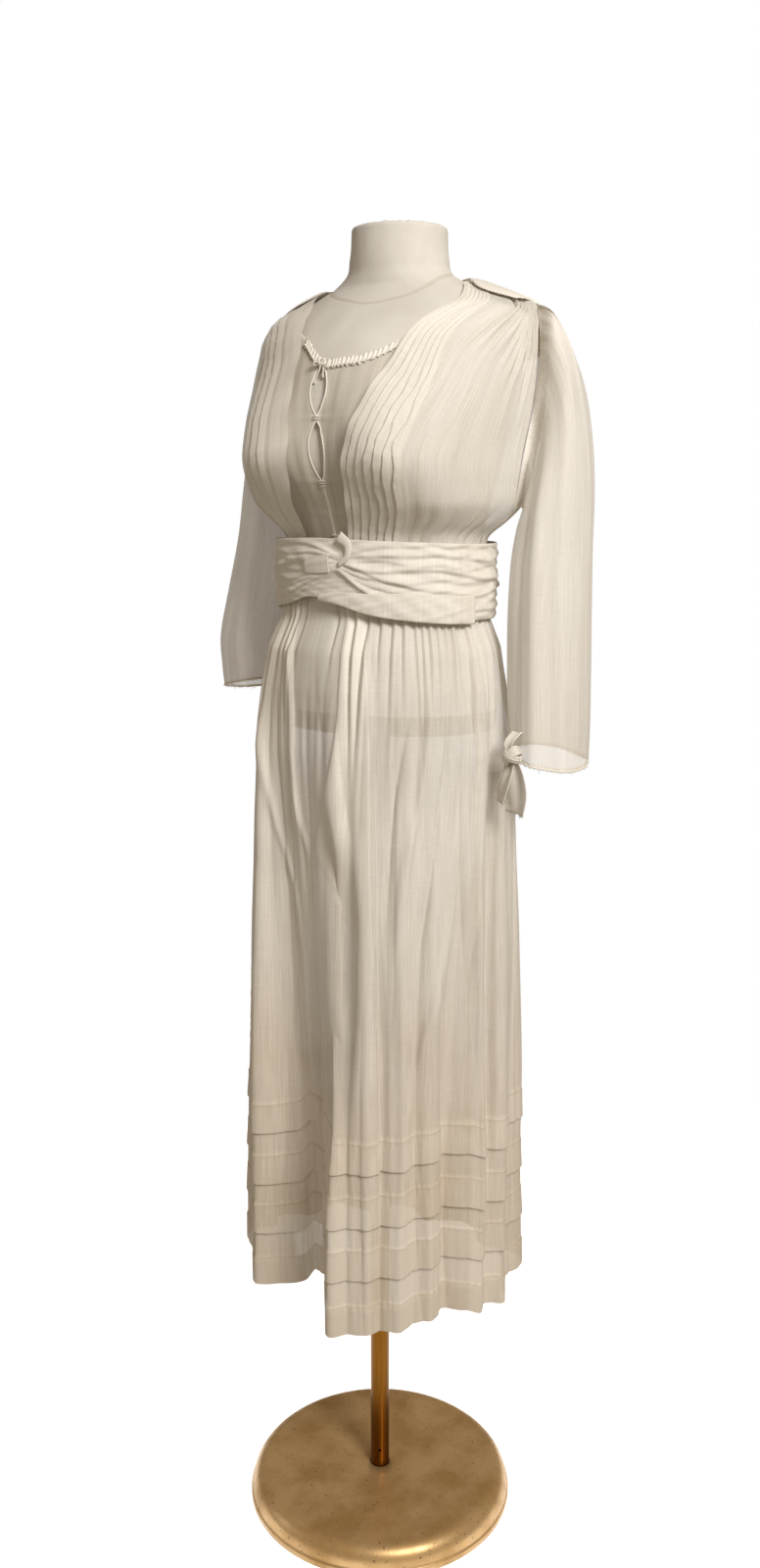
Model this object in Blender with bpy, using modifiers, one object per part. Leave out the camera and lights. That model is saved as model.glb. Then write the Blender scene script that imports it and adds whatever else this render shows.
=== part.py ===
"""A cotton voile tea dress of about 1915, standing on a limbless dress form.

The dress hangs from the form's shoulders: a fine underbodice with a laced-up
placket, two tucked fronts that cross no further than its edges, a back, a yoke
whose ends lap over the shoulders, wide sleeves tied at the cuff, a folded sash
and a long gathered skirt with three tucks above its hem. The form is a smooth
padded torso on a pole and a round weighted base.

Metres, +Z up, the front of the dress towards -Y, its wearer's left side at +X.
The origin is the middle of the base's underside.
"""

import math
from typing import NamedTuple

import bmesh
import bpy
import numpy as np

SEAM = 0.0003  # gap kept between two pieces that touch
CLOTH = 0.0012  # wall of one layer of voile
NORMAL_STEP = 0.0008  # half the height that a surface's slope is measured over
TURN_STEP = 0.004  # half the turn that it is measured over, in radians
MEAN_RADIUS = 0.13  # of the body, to weigh a turn against a height
SHARP_ANGLE = math.radians(40)

# The stand
BASE_RADIUS = 0.178
BASE_HEIGHT = 0.035
BASE_EDGE = 0.024  # width of the rounded rim
BASE_LIP = 0.009  # height of the thin lip at the floor
BASE_LIP_OUT = 0.002  # how far the lip stands out past the rim
BASE_CHAMFER = 0.001
BASE_SIDES = 40
BASE_RIM_STEPS = 5
BASE_RIM_TURN = math.radians(80)
POLE_RADIUS = 0.0127
POLE_SIDES = 28
SOCKET_RADIUS = POLE_RADIUS + SEAM
BASE_SOCKET_FLOOR = 0.012
TORSO_SOCKET_TOP = 1.135
PIN_HOLE_RADIUS = 0.002
PIN_HOLE_HEIGHT = 0.060
PIN_HOLE_TURN = math.radians(32)
PIN_HOLE_SIDES = 10

# The dress
WAIST_SEAM = 1.2570  # where the bodice is joined to the skirt, under the sash
UNDERARM = 1.335
SHOULDER_TIP = 1.558
NECK_END = 1.592
HEM = 0.330  # the hem's mean height above the floor

INK = {
    "jersey": ((0.79, 0.76, 0.70), 0.92, 0.0),
    "voile": ((0.74, 0.66, 0.54), 0.88, 0.0),
    "fine voile": ((0.76, 0.70, 0.60), 0.88, 0.0),
    "gilt paint": ((0.30, 0.18, 0.06), 0.42, 0.75),
    "gilt pole": ((0.36, 0.20, 0.05), 0.38, 0.8),
}


class Section(NamedTuple):
    """A level cut through the body or the dress: an egg of four half widths."""

    height: float
    half_width: float
    side_y: float
    front_y: float
    back_y: float


class Bend(NamedTuple):
    """A point of an edge drawn on a round surface."""

    turn: float
    height: float


class Swell(NamedTuple):
    """A soft rise on both halves of the front: its place, height and spreads."""

    turn: float
    height: float
    out: float
    turn_spread: float
    spread_above: float
    spread_below: float


class SleeveRing(NamedTuple):
    """An oval cut through a sleeve, from its outer edge to its inner edge."""

    outer_x: float
    outer_z: float
    inner_x: float
    inner_z: float
    y: float
    half_depth: float


class Fold(NamedTuple):
    """A ridge or a hollow of the skirt as it stands at the hem."""

    turn: float
    out: float
    rise: float


class Level(NamedTuple):
    """How much of the gathers and of the folds shows at one height."""

    height: float
    gathers: float
    folds: float


class TieEnd(NamedTuple):
    """One end of a tie: the way it hangs from the knot, its length and width."""

    lean_x: float
    lean_y: float
    length: float
    width: float


class FrontStyle(NamedTuple):
    """One front: its edge, its plain folded band and the number of its tucks."""

    edge: tuple
    band: float
    tucks: int
    tuck_pitch: float
    gathers: int


FORM_SIDES = 32
FORM_EXTRA_RINGS = (1.3525, 1.3950)  # heights of the rings added where the front swells
FORM_CROWN = ((0.90, 0.0035), (0.55, 0.0060))  # share of the neck's top, and its lift
FORM_SECTIONS = (
    Section(1.075, 0.1480, 0.002, -0.104, 0.110),
    Section(1.100, 0.1500, 0.003, -0.109, 0.114),
    Section(1.150, 0.1425, 0.006, -0.107, 0.113),
    Section(1.205, 0.1285, 0.010, -0.094, 0.104),
    Section(1.250, 0.1220, 0.012, -0.084, 0.098),
    Section(1.285, 0.1220, 0.014, -0.083, 0.098),
    Section(1.330, 0.1290, 0.020, -0.094, 0.106),
    Section(1.375, 0.1370, 0.030, -0.111, 0.118),
    Section(1.415, 0.1420, 0.040, -0.118, 0.126),
    Section(1.455, 0.1460, 0.050, -0.116, 0.132),
    Section(1.495, 0.1510, 0.057, -0.104, 0.134),
    Section(1.525, 0.1580, 0.060, -0.083, 0.130),
    Section(1.545, 0.1630, 0.061, -0.060, 0.120),
    Section(1.556, 0.1580, 0.061, -0.045, 0.112),
    Section(1.568, 0.1420, 0.060, -0.030, 0.105),
    Section(1.580, 0.1180, 0.056, -0.019, 0.102),
    Section(1.592, 0.0860, 0.050, -0.014, 0.101),
    Section(1.603, 0.0670, 0.046, -0.014, 0.101),
    Section(1.622, 0.0595, 0.044, -0.015, 0.102),
    Section(1.655, 0.0570, 0.044, -0.013, 0.101),
)

BODICE_SECTIONS = (
    Section(1.2550, 0.1285, 0.012, -0.0915, 0.1035),
    Section(1.2800, 0.1285, 0.013, -0.0915, 0.1040),
    Section(1.3040, 0.1320, 0.016, -0.0950, 0.1080),
    Section(1.3190, 0.1480, 0.024, -0.1020, 0.1200),
    Section(1.3350, 0.1610, 0.036, -0.1100, 0.1310),
    Section(1.3650, 0.1690, 0.048, -0.1220, 0.1400),
    Section(1.4050, 0.1740, 0.058, -0.1290, 0.1460),
    Section(1.4500, 0.1800, 0.064, -0.1280, 0.1490),
    Section(1.4950, 0.1830, 0.066, -0.1150, 0.1480),
    Section(1.5300, 0.1810, 0.065, -0.0965, 0.1400),
    Section(1.5500, 0.1760, 0.063, -0.0725, 0.1310),
    Section(1.5600, 0.1700, 0.062, -0.0520, 0.1240),
    Section(1.5700, 0.1500, 0.060, -0.0360, 0.1160),
    Section(1.5820, 0.1195, 0.056, -0.0250, 0.1110),
    Section(1.5940, 0.0880, 0.050, -0.0190, 0.1085),
    Section(1.6060, 0.0700, 0.046, -0.0190, 0.1080),
)

FORM_SWELLS = (Swell(34, 1.395, 0.032, 16, 0.050, 0.036),)
BODICE_SWELLS = (Swell(34, 1.395, 0.034, 16, 0.053, 0.036), Swell(54, 1.342, 0.017, 18, 0.045, 0.014))

SKIRT_SECTIONS = (
    Section(1.2600, 0.1285, 0.012, -0.0910, 0.1030),
    Section(1.2330, 0.1285, 0.012, -0.0915, 0.1040),
    Section(1.2050, 0.1320, 0.012, -0.0965, 0.1085),
    Section(1.1700, 0.1470, 0.010, -0.1140, 0.1260),
    Section(1.1250, 0.1570, 0.008, -0.1240, 0.1360),
    Section(1.0500, 0.1680, 0.006, -0.1350, 0.1470),
    Section(0.9500, 0.1740, 0.004, -0.1430, 0.1530),
    Section(0.8000, 0.1800, 0.002, -0.1490, 0.1580),
    Section(0.6200, 0.1850, 0.000, -0.1540, 0.1610),
    Section(HEM, 0.1900, 0.000, -0.1580, 0.1640),
)

SKIRT_LEVELS = (
    Level(1.2600, 1.00, 0.00),
    Level(1.2330, 1.00, 0.00),
    Level(1.2050, 1.00, 0.00),
    Level(1.1700, 0.90, 0.03),
    Level(1.1250, 0.70, 0.10),
    Level(1.0500, 0.35, 0.24),
    Level(0.9500, 0.10, 0.42),
    Level(0.8000, 0.00, 0.62),
    Level(0.6200, 0.00, 0.82),
    Level(HEM, 0.00, 1.00),
)

# Ridges and hollows in turn round the hem, from the right back to the left back
HEM_FOLDS = (
    Fold(-178.0, -0.026, 0.000),
    Fold(-163.0, 0.006, -0.002),
    Fold(-147.0, -0.028, 0.002),
    Fold(-131.0, 0.005, 0.000),
    Fold(-117.0, -0.024, 0.004),
    Fold(-103.0, 0.004, 0.002),
    Fold(-94.0, -0.010, 0.004),
    Fold(-83.0, 0.012, 0.002),
    Fold(-62.0, -0.012, 0.004),
    Fold(-42.0, -0.006, -0.004),
    Fold(-37.5, -0.034, -0.002),
    Fold(-31.0, -0.060, 0.006),
    Fold(-22.0, -0.066, 0.028),
    Fold(-9.0, -0.060, 0.020),
    Fold(-1.0, -0.034, 0.002),
    Fold(7.5, 0.001, -0.008),
    Fold(14.0, -0.014, -0.007),
    Fold(20.0, -0.012, -0.006),
    Fold(28.0, -0.026, -0.003),
    Fold(36.0, -0.020, -0.002),
    Fold(44.0, -0.034, 0.002),
    Fold(51.0, -0.030, 0.006),
    Fold(65.0, -0.056, 0.004),
    Fold(74.0, -0.034, 0.005),
    Fold(83.0, -0.026, -0.004),
    Fold(89.0, -0.034, -0.002),
    Fold(97.0, -0.012, -0.003),
    Fold(112.0, -0.026, 0.000),
    Fold(135.0, 0.014, -0.003),
    Fold(151.0, -0.022, 0.000),
    Fold(167.0, 0.005, -0.002),
)

# Height, and the share of the hem's rise and fall that shows there
RISE_LEVELS = ((HEM, 1.0), (0.62, 0.8), (0.95, 0.0))

SIDE_SEAM = 74.0  # degrees from the middle front to each side seam of the skirt
SKIRT_FRONT_COLUMNS = 44
SKIRT_BACK_COLUMNS = 44
GATHER_OUT = 0.0024
# Heights above the hem of each tuck's stitching and of its lower fold
SKIRT_TUCKS = ((0.254, 0.215), (0.183, 0.143), (0.113, 0.073))
TUCK_OUT = 0.0020
TUCK_TOP_OUT = 0.0011  # how far a tuck stands out just under its stitching
TUCK_TOP_STEP = 0.003
TUCK_STEP = 0.0008  # how far below its fold a tuck ends
HEM_BAND_TOP = 0.038
HEM_BAND_OUT = 0.0014

SASH_COLUMNS = 44
SASH_INSIDE = Section(0.0, 0.1364, 0.014, -0.1004, 0.1137)
SASH_WALL = 0.0024
# Down the sash: share of its depth, and how far a fold stands out there
SASH_FOLDS = (
    (0.00, 0.0006), (0.10, 0.0028), (0.22, 0.0004), (0.34, 0.0030), (0.47, 0.0005),
    (0.60, 0.0034), (0.73, 0.0006), (0.88, 0.0030), (1.00, 0.0006),
)
SASH_FACE = SASH_WALL + 0.0034 + SEAM + 0.0002  # what lies on the sash starts here
WRAP_TURNS = (-7, 76)
WRAP_COLUMNS = 13
WRAP_ROWS = (0.0, 0.3, 0.7, 1.0)
WRAP_BELLY = (0.0, 0.0010, 0.0012, 0.0)
WRAP_BELOW = 0.0035  # how far it hangs below the sash's edge
WRAP_END_DEPTH = 0.007
WRAP_DEPTH = 0.026
TAB_TURNS = (-16, -1)
TAB_TOP = (1.281, 1.277)
TAB_BOTTOM = (1.254, 1.260)
TAB_COLUMNS = 6
TAB_ROWS = (0.0, 0.35, 0.65, 1.0)
TAB_BELLY = (0.0, 0.0014, 0.0004, 0.0012)
TAB_WALL = 0.0020
SASH_TOP = (
    Bend(-180, 1.296), Bend(-90, 1.297), Bend(-40, 1.299), Bend(-8, 1.301),
    Bend(4, 1.300), Bend(40, 1.297), Bend(90, 1.294), Bend(180, 1.296),
)
SASH_BOTTOM = (
    Bend(-180, 1.208), Bend(-70, 1.212), Bend(-30, 1.224), Bend(-14, 1.233),
    Bend(2, 1.230), Bend(18, 1.219), Bend(45, 1.210), Bend(90, 1.206), Bend(180, 1.208),
)

FRONT_EDGE_LEFT = (
    Bend(89.7, 1.592), Bend(66, 1.586), Bend(45, 1.566), Bend(32.5, 1.540), Bend(25, 1.491),
    Bend(19, 1.449), Bend(14.5, 1.412), Bend(10.5, 1.355), Bend(7.5, 1.304), Bend(7, WAIST_SEAM),
)
FRONT_EDGE_RIGHT = (
    Bend(89.7, 1.592), Bend(60, 1.587), Bend(38, 1.576), Bend(20, 1.553), Bend(13, 1.520),
    Bend(11.5, 1.463), Bend(11.5, 1.420), Bend(13.5, 1.370), Bend(19, 1.304), Bend(20, WAIST_SEAM),
)
ARMHOLE_FRONT = (
    Bend(89.7, SHOULDER_TIP), Bend(85.5, 1.535), Bend(84, 1.490), Bend(83.5, 1.430),
    Bend(84.5, 1.375), Bend(87, 1.348), Bend(89.7, UNDERARM),
)
ARMHOLE_BACK = (
    Bend(90.3, SHOULDER_TIP), Bend(97, 1.535), Bend(103, 1.490), Bend(104.5, 1.430),
    Bend(102, 1.375), Bend(96, 1.348), Bend(90.3, UNDERARM),
)
ARMHOLE_ROWS = 9
ARMHOLE_SHARE = 0.66  # of a panel's rows are beside the armhole
PANEL_ROWS = np.concatenate(
    [
        np.linspace(0, ARMHOLE_SHARE, ARMHOLE_ROWS),
        ARMHOLE_SHARE + (1 - ARMHOLE_SHARE) * np.array([0.18, 0.36, 0.52, 0.68, 0.84, 1.0]),
    ]
)
INNER_ROWS = PANEL_ROWS[[0, 1, 2, 3, 4, 5, 6, 8, 10, 12, 14]]

INNER_COLUMNS = 12  # across the plain inside of a front
BAND_RIDGE = 0.0008
TUCK_RIDGE = 0.0017
TUCK_LEAN = 0.78  # of a tuck's pitch lies before its ridge
GATHER_RIDGE = 0.0020
# Shares of the way down a panel where its gathers fade out, or come in
FRONT_GATHERS_END = (0.05, 0.50)
WAIST_GATHERS_START = (0.74, 0.95)
BACK_GATHERS_START = (0.30, 0.42)
BACK_GATHERS_END = (0.50, 0.70)
BACK_GATHERS = 14
BACK_INNER_COLUMNS = 21
FRONTS = {
    "left": FrontStyle(FRONT_EDGE_LEFT, 0.02, 5, 0.058, 9),
    "right": FrontStyle(FRONT_EDGE_RIGHT, 0.13, 3, 0.058, 8),
}

NECKLINE_BACK = (Bend(90.3, NECK_END), Bend(112, 1.5975), Bend(140, 1.601), Bend(180, 1.602))
YOKE_COLUMNS = 27
YOKE_ROWS = 5
YOKE_FLAP = 0.22  # share of each half that is the flap in front of the shoulder
YOKE_BULGE = math.radians(11)  # how far the flap's point reaches forward
YOKE_OUT_FRONT = CLOTH + GATHER_RIDGE + 0.0013
YOKE_OUT_BACK = CLOTH + 0.0024
YOKE_NECK = (
    Bend(76, 1.5885), Bend(90, 1.5900), Bend(112, 1.5965), Bend(140, 1.600), Bend(180, 1.601),
)
YOKE_LOWER = (
    Bend(74, 1.5640), Bend(91, 1.5625), Bend(102, 1.5300),
    Bend(122, 1.512), Bend(150, 1.508), Bend(180, 1.507),
)

VEST_OUT = 0.0031
VEST_WALL = 0.0010
VEST_MIDDLE = math.radians(-2.5)  # the placket sits a little to the right of the middle
VEST_SIDE = math.radians(50)
VEST_NECK = (
    Bend(-50, 1.546), Bend(-32, 1.537), Bend(-15, 1.519), Bend(-4, 1.4965),
    Bend(10, 1.496), Bend(23.5, 1.5055), Bend(36, 1.530), Bend(50, 1.546),
)
# Top and bottom of each gap between two fastenings of the placket
PLACKET_GAPS = ((1.491, 1.437), (1.430, 1.368))
PLACKET_GAP_HALF = 0.0078
PLACKET_RADIUS = 0.115  # of the chest, where the placket lies
PLACKET_TOP = 1.4965
PLACKET_GAP_ROWS = (0, 0.2, 0.5, 0.8, 1)
VEST_LOWER_ROWS = (1.3525, 1.3300, 1.3080, 1.2850)
VEST_BOTTOM = 1.262

TRIM_COLUMNS = 25
TRIM_ABOVE = 0.001  # how far the edging reaches above the neckline
TRIM_WIDTH = 0.009
TRIM_WALL = 0.0012
TRIM_WAVE = 0.0010
TRIM_GAP = 0.0004  # added where flat faces lie over a curve
TRIM_TURNS = (-16.5, 28)  # degrees, where the edging starts and ends

ARMHOLE_HALF_DEPTH = 0.024
SLEEVE_SETTLES = 5  # rings from the armhole to the first plain oval
SLEEVE_LAP = 0.0010  # between the sleeve's first ring and the cloth it laps on

SLEEVE_LEFT = (
    SleeveRing(0.2075, 1.5465, 0.1690, 1.3390, 0.057, 0.027),
    SleeveRing(0.2290, 1.5000, 0.1715, 1.3320, 0.059, 0.036),
    SleeveRing(0.2400, 1.4350, 0.1700, 1.3180, 0.060, 0.044),
    SleeveRing(0.2450, 1.3650, 0.1640, 1.2980, 0.058, 0.050),
    SleeveRing(0.2460, 1.2900, 0.1600, 1.2650, 0.055, 0.052),
    SleeveRing(0.2480, 1.2200, 0.1600, 1.2080, 0.052, 0.055),
    SleeveRing(0.2500, 1.1500, 0.1620, 1.1460, 0.050, 0.057),
    SleeveRing(0.2520, 1.0880, 0.1650, 1.0930, 0.047, 0.058),
    SleeveRing(0.2525, 1.0320, 0.1680, 1.0530, 0.044, 0.058),
)
SLEEVE_RIGHT = (
    SleeveRing(0.1975, 1.5445, 0.1700, 1.3390, 0.057, 0.027),
    SleeveRing(0.2140, 1.4960, 0.1715, 1.3320, 0.059, 0.035),
    SleeveRing(0.2255, 1.4330, 0.1690, 1.3180, 0.060, 0.043),
    SleeveRing(0.2330, 1.3650, 0.1630, 1.2980, 0.058, 0.049),
    SleeveRing(0.2400, 1.3000, 0.1580, 1.2720, 0.055, 0.052),
    SleeveRing(0.2530, 1.2300, 0.1650, 1.2190, 0.050, 0.054),
    SleeveRing(0.2640, 1.1700, 0.1700, 1.1680, 0.046, 0.056),
    SleeveRing(0.2630, 1.1290, 0.1680, 1.1310, 0.047, 0.057),
    SleeveRing(0.2600, 1.1010, 0.1660, 1.1080, 0.048, 0.058),
)

NECK_KNOT_RADII = (0.006, 0.0036, 0.0045)
NECK_KNOT_HEIGHT = 1.4915
CUFF_KNOT_RADII = (0.014, 0.011, 0.015)
CUFF_KNOT_LIFT = 0.006  # above the sleeve's edge
RIBBON_WIDTHS = ((0.0, 0.35), (0.35, 0.9), (0.7, 1.0), (1.0, 0.8))  # share down, share of the width
RIBBON_HALF_WALL = 0.0009
RIBBON_SAG = 0.002
NECK_ENDS = (TieEnd(-0.008, -0.0110, 0.030, 0.005), TieEnd(0.009, -0.0080, 0.021, 0.005))
# Each cuff's tie: its place round the cuff, from the top forwards, and its two ends
CUFF_TIES = {
    "left": (0.28, (TieEnd(0.006, -0.008, 0.066, 0.028), TieEnd(-0.014, -0.002, 0.055, 0.020))),
    "right": (0.64, (TieEnd(0.004, 0.006, 0.060, 0.026), TieEnd(-0.012, 0.002, 0.050, 0.020))),
}


def make_material(name):
    """A material with the finish's colour, roughness and metallic value."""
    colour, roughness, metallic = INK[name]
    material = bpy.data.materials.get(name)
    if material is None:
        material = bpy.data.materials.new(name)
        material.use_nodes = True
        shader = material.node_tree.nodes["Principled BSDF"]
        shader.inputs["Base Color"].default_value = (*colour, 1.0)
        shader.inputs["Roughness"].default_value = roughness
        shader.inputs["Metallic"].default_value = metallic
    return material


def add_object(name, mesh, finish, parts):
    """Put a mesh into the parts' collection under its name, with its finish."""
    piece = bpy.data.objects.new(name, mesh)
    mesh.materials.clear()
    mesh.materials.append(make_material(finish))
    parts.objects.link(piece)
    return piece


def solid_from(name, points, faces):
    """A closed mesh of the points and faces, with every face turned outwards."""
    shape = bmesh.new()
    vertices = [shape.verts.new(point) for point in points]
    for face in faces:
        shape.faces.new([vertices[i] for i in face])
    bmesh.ops.recalc_face_normals(shape, faces=shape.faces)
    if shape.calc_volume(signed=True) < 0:
        bmesh.ops.reverse_faces(shape, faces=shape.faces)
    mesh = bpy.data.meshes.new(name)
    shape.to_mesh(mesh)
    shape.free()
    mesh.shade_smooth()
    mesh.set_sharp_from_angle(angle=SHARP_ANGLE)
    return mesh


def through(places, values, at):
    """A smooth curve through the values, level wherever they turn back."""
    places = np.asarray(places, float)
    values = np.asarray(values, float)
    slopes = np.diff(values) / np.diff(places)
    lean = np.gradient(values, places)
    lean[1:-1] = np.where(slopes[:-1] * slopes[1:] <= 0, 0, lean[1:-1])
    i = np.clip(np.searchsorted(places, at) - 1, 0, len(places) - 2)
    span = places[i + 1] - places[i]
    t = np.clip((at - places[i]) / span, 0, 1)
    return (
        (2 * t**3 - 3 * t**2 + 1) * values[i]
        + (t**3 - 2 * t**2 + t) * span * lean[i]
        + (-2 * t**3 + 3 * t**2) * values[i + 1]
        + (t**3 - t**2) * span * lean[i + 1]
    )


def egg(half_width, side_y, front_y, back_y, turn):
    """X and Y of an egg-shaped level cut at a turn from the middle front."""
    forward = np.cos(turn)
    y = np.where(forward > 0, side_y - (side_y - front_y) * forward, side_y - (back_y - side_y) * forward)
    return half_width * np.sin(turn), y


def body_surface(sections, swells):
    """The smooth round surface through level cuts, as a function of turn and height."""
    table = np.array(sections)

    def surface(turn, height):
        turn, height = np.broadcast_arrays(np.asarray(turn, float), np.asarray(height, float))
        cuts = [through(table[:, 0], table[:, k], height) for k in range(1, 5)]
        x, y = egg(*cuts, turn)
        degrees = np.degrees(np.abs(np.mod(turn + np.pi, 2 * np.pi) - np.pi))
        for swell in swells:
            aside = (degrees - swell.turn) / swell.turn_spread
            above = height - swell.height
            up = above / np.where(above > 0, swell.spread_above, swell.spread_below)
            y = y - swell.out * np.exp(-0.5 * aside**2 - 0.5 * up**2)
        return np.stack([x, y, height], -1)

    return surface


form_surface = body_surface(FORM_SECTIONS, FORM_SWELLS)
bodice_surface = body_surface(BODICE_SECTIONS, BODICE_SWELLS)


def normals(surface, turn, height):
    """Outward unit normals of a surface, from its slopes both ways."""
    across = surface(turn + TURN_STEP, height) - surface(turn - TURN_STEP, height)
    up = surface(turn, height + NORMAL_STEP) - surface(turn, height - NORMAL_STEP)
    out = np.cross(across, up)
    return out / np.linalg.norm(out, axis=-1, keepdims=True)


def moved_out(surface, turn, height, distance):
    """Points of a surface moved out along its normals."""
    distance = np.asarray(distance, float)
    return surface(turn, height) + normals(surface, turn, height) * distance[..., None]


def along_edge(bends, shares):
    """Turn in radians and height at shares of the way along an edge."""
    turns = np.radians([bend.turn for bend in bends])
    heights = np.array([bend.height for bend in bends])
    steps = np.hypot(np.diff(turns) * MEAN_RADIUS, np.diff(heights))
    places = np.concatenate([[0], np.cumsum(steps)]) / steps.sum()
    return through(places, turns, shares), through(places, heights, shares)


class Grid(NamedTuple):
    """Points in rows and columns, with each row's and column's share of the way."""

    points: np.ndarray
    rows: np.ndarray
    columns: np.ndarray


def zipped(first, second):
    """Faces between two edges, each a list of (share of the way, vertex)."""
    faces = []
    i = j = 0
    while i < len(first) - 1 or j < len(second) - 1:
        ahead = first[i + 1][0] if i < len(first) - 1 else math.inf
        other = second[j + 1][0] if j < len(second) - 1 else math.inf
        if abs(ahead - other) < 1e-6:
            faces.append((first[i][1], first[i + 1][1], second[j + 1][1], second[j][1]))
            i += 1
            j += 1
        elif ahead < other:
            faces.append((first[i][1], first[i + 1][1], second[j][1]))
            i += 1
        else:
            faces.append((first[i][1], second[j + 1][1], second[j][1]))
            j += 1
    return faces


def cloth_wall(outer, inner, around=False):
    """Points and faces of a closed wall between an outer and an inner grid.

    The two grids may have different numbers of rows and columns, so a plain
    inside costs little. Around means that the last column meets the first.
    """
    points = []
    faces = []
    edges = []
    for grid in (outer, inner):
        base = len(points)
        rows, columns = grid.points.shape[:2]
        ids = base + np.arange(rows * columns).reshape(rows, columns)
        shares = list(grid.columns)
        if around:
            ids = np.concatenate([ids, ids[:, :1]], axis=1)
            shares.append(1.0)
        points.extend(map(tuple, grid.points.reshape(-1, 3)))
        quads = np.stack([ids[:-1, :-1], ids[:-1, 1:], ids[1:, 1:], ids[1:, :-1]], -1)
        faces.extend(map(tuple, quads.reshape(-1, 4).tolist()))
        level = [list(zip(shares, ids[k].tolist())) for k in (0, -1)]
        upright = [list(zip(grid.rows, ids[:, k].tolist())) for k in (0, -1)]
        edges.append((level, upright))
    for side in (0, 1):
        faces.extend(zipped(edges[0][0][side], edges[1][0][side]))
        if not around:
            faces.extend(zipped(edges[0][1][side], edges[1][1][side]))
    return points, faces


def ringed_solid(rings):
    """Points and faces of a solid through rings, its first and last ring capped."""
    rings = np.asarray(rings)
    count, sides = rings.shape[:2]
    ids = np.arange(count * sides).reshape(count, sides)
    wrapped = np.concatenate([ids, ids[:, :1]], axis=1)
    quads = np.stack([wrapped[:-1, :-1], wrapped[:-1, 1:], wrapped[1:, 1:], wrapped[1:, :-1]], -1)
    faces = list(map(tuple, quads.reshape(-1, 4).tolist()))
    faces.append(tuple(ids[0].tolist()))
    faces.append(tuple(ids[-1].tolist()))
    return list(map(tuple, rings.reshape(-1, 3))), faces


def make_base(parts):
    """The round weighted base: a turned disc with a rounded rim, a lip and a socket."""
    rim = BASE_RADIUS - BASE_EDGE
    profile = [(0, BASE_SOCKET_FLOOR), (SOCKET_RADIUS, BASE_SOCKET_FLOOR), (SOCKET_RADIUS, BASE_HEIGHT)]
    for step in range(BASE_RIM_STEPS + 1):
        swing = BASE_RIM_TURN * step / BASE_RIM_STEPS
        drop = (BASE_HEIGHT - BASE_LIP) * (1 - math.cos(swing))
        profile.append((rim + (BASE_EDGE - BASE_LIP_OUT) * math.sin(swing), BASE_HEIGHT - drop))
    profile += [(BASE_RADIUS, BASE_LIP), (BASE_RADIUS, BASE_CHAMFER)]
    profile += [(BASE_RADIUS - BASE_CHAMFER, 0), (0, 0)]
    mesh = bpy.data.meshes.new("stand_base")
    mesh.from_pydata([(x, 0, z) for x, z in profile], [(i, i + 1) for i in range(len(profile) - 1)], [])
    base = add_object("stand_base", mesh, "gilt paint", parts)
    turn = base.modifiers.new("turn", "SCREW")
    turn.steps = turn.render_steps = BASE_SIDES
    turn.use_merge_vertices = True
    turn.merge_threshold = 0.0001
    turn.use_smooth_shade = True


def make_pole(parts, helpers):
    """The pole, from the base's socket to the torso's, with a pin hole near its foot."""
    foot = BASE_SOCKET_FLOOR + SEAM
    head = TORSO_SOCKET_TOP - SEAM
    shape = bmesh.new()
    bmesh.ops.create_cone(
        shape, cap_ends=True, segments=POLE_SIDES, radius1=POLE_RADIUS, radius2=POLE_RADIUS, depth=head - foot
    )
    bmesh.ops.translate(shape, verts=shape.verts, vec=(0, 0, (head + foot) / 2))
    mesh = bpy.data.meshes.new("stand_pole")
    shape.to_mesh(mesh)
    shape.free()
    mesh.shade_smooth()
    mesh.set_sharp_from_angle(angle=SHARP_ANGLE)
    pole = add_object("stand_pole", mesh, "gilt pole", parts)

    drill = bmesh.new()
    bmesh.ops.create_cone(
        drill,
        cap_ends=True,
        segments=PIN_HOLE_SIDES,
        radius1=PIN_HOLE_RADIUS,
        radius2=PIN_HOLE_RADIUS,
        depth=POLE_RADIUS * 3,
    )
    cutter_mesh = bpy.data.meshes.new("pin_hole")
    drill.to_mesh(cutter_mesh)
    drill.free()
    cutter = bpy.data.objects.new("pin_hole", cutter_mesh)
    cutter.location = (0, 0, PIN_HOLE_HEIGHT)
    cutter.rotation_euler = (math.pi / 2, 0, PIN_HOLE_TURN)
    cutter.hide_render = True
    cutter.display_type = "WIRE"
    helpers.objects.link(cutter)
    cut = pole.modifiers.new("pin hole", "BOOLEAN")
    cut.operation = "DIFFERENCE"
    cut.object = cutter


def make_torso(parts):
    """The padded torso with its neck, closed below but for the pole's socket."""
    turns = np.arange(FORM_SIDES) * 2 * np.pi / FORM_SIDES
    heights = sorted([section.height for section in FORM_SECTIONS] + list(FORM_EXTRA_RINGS))
    rings = [form_surface(turns, height) for height in heights]
    top = rings[-1].mean(axis=0)
    for share, lift in FORM_CROWN:
        crown = top + (rings[len(heights) - 1] - top) * share
        crown[:, 2] += lift
        rings.append(crown)
    socket = np.stack([SOCKET_RADIUS * np.sin(turns), -SOCKET_RADIUS * np.cos(turns), turns * 0], -1)
    below = [socket + (0, 0, TORSO_SOCKET_TOP), socket + (0, 0, heights[0])]
    points, faces = ringed_solid(below + rings)
    add_object("form_torso", solid_from("form_torso", points, faces), "jersey", parts)


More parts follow.
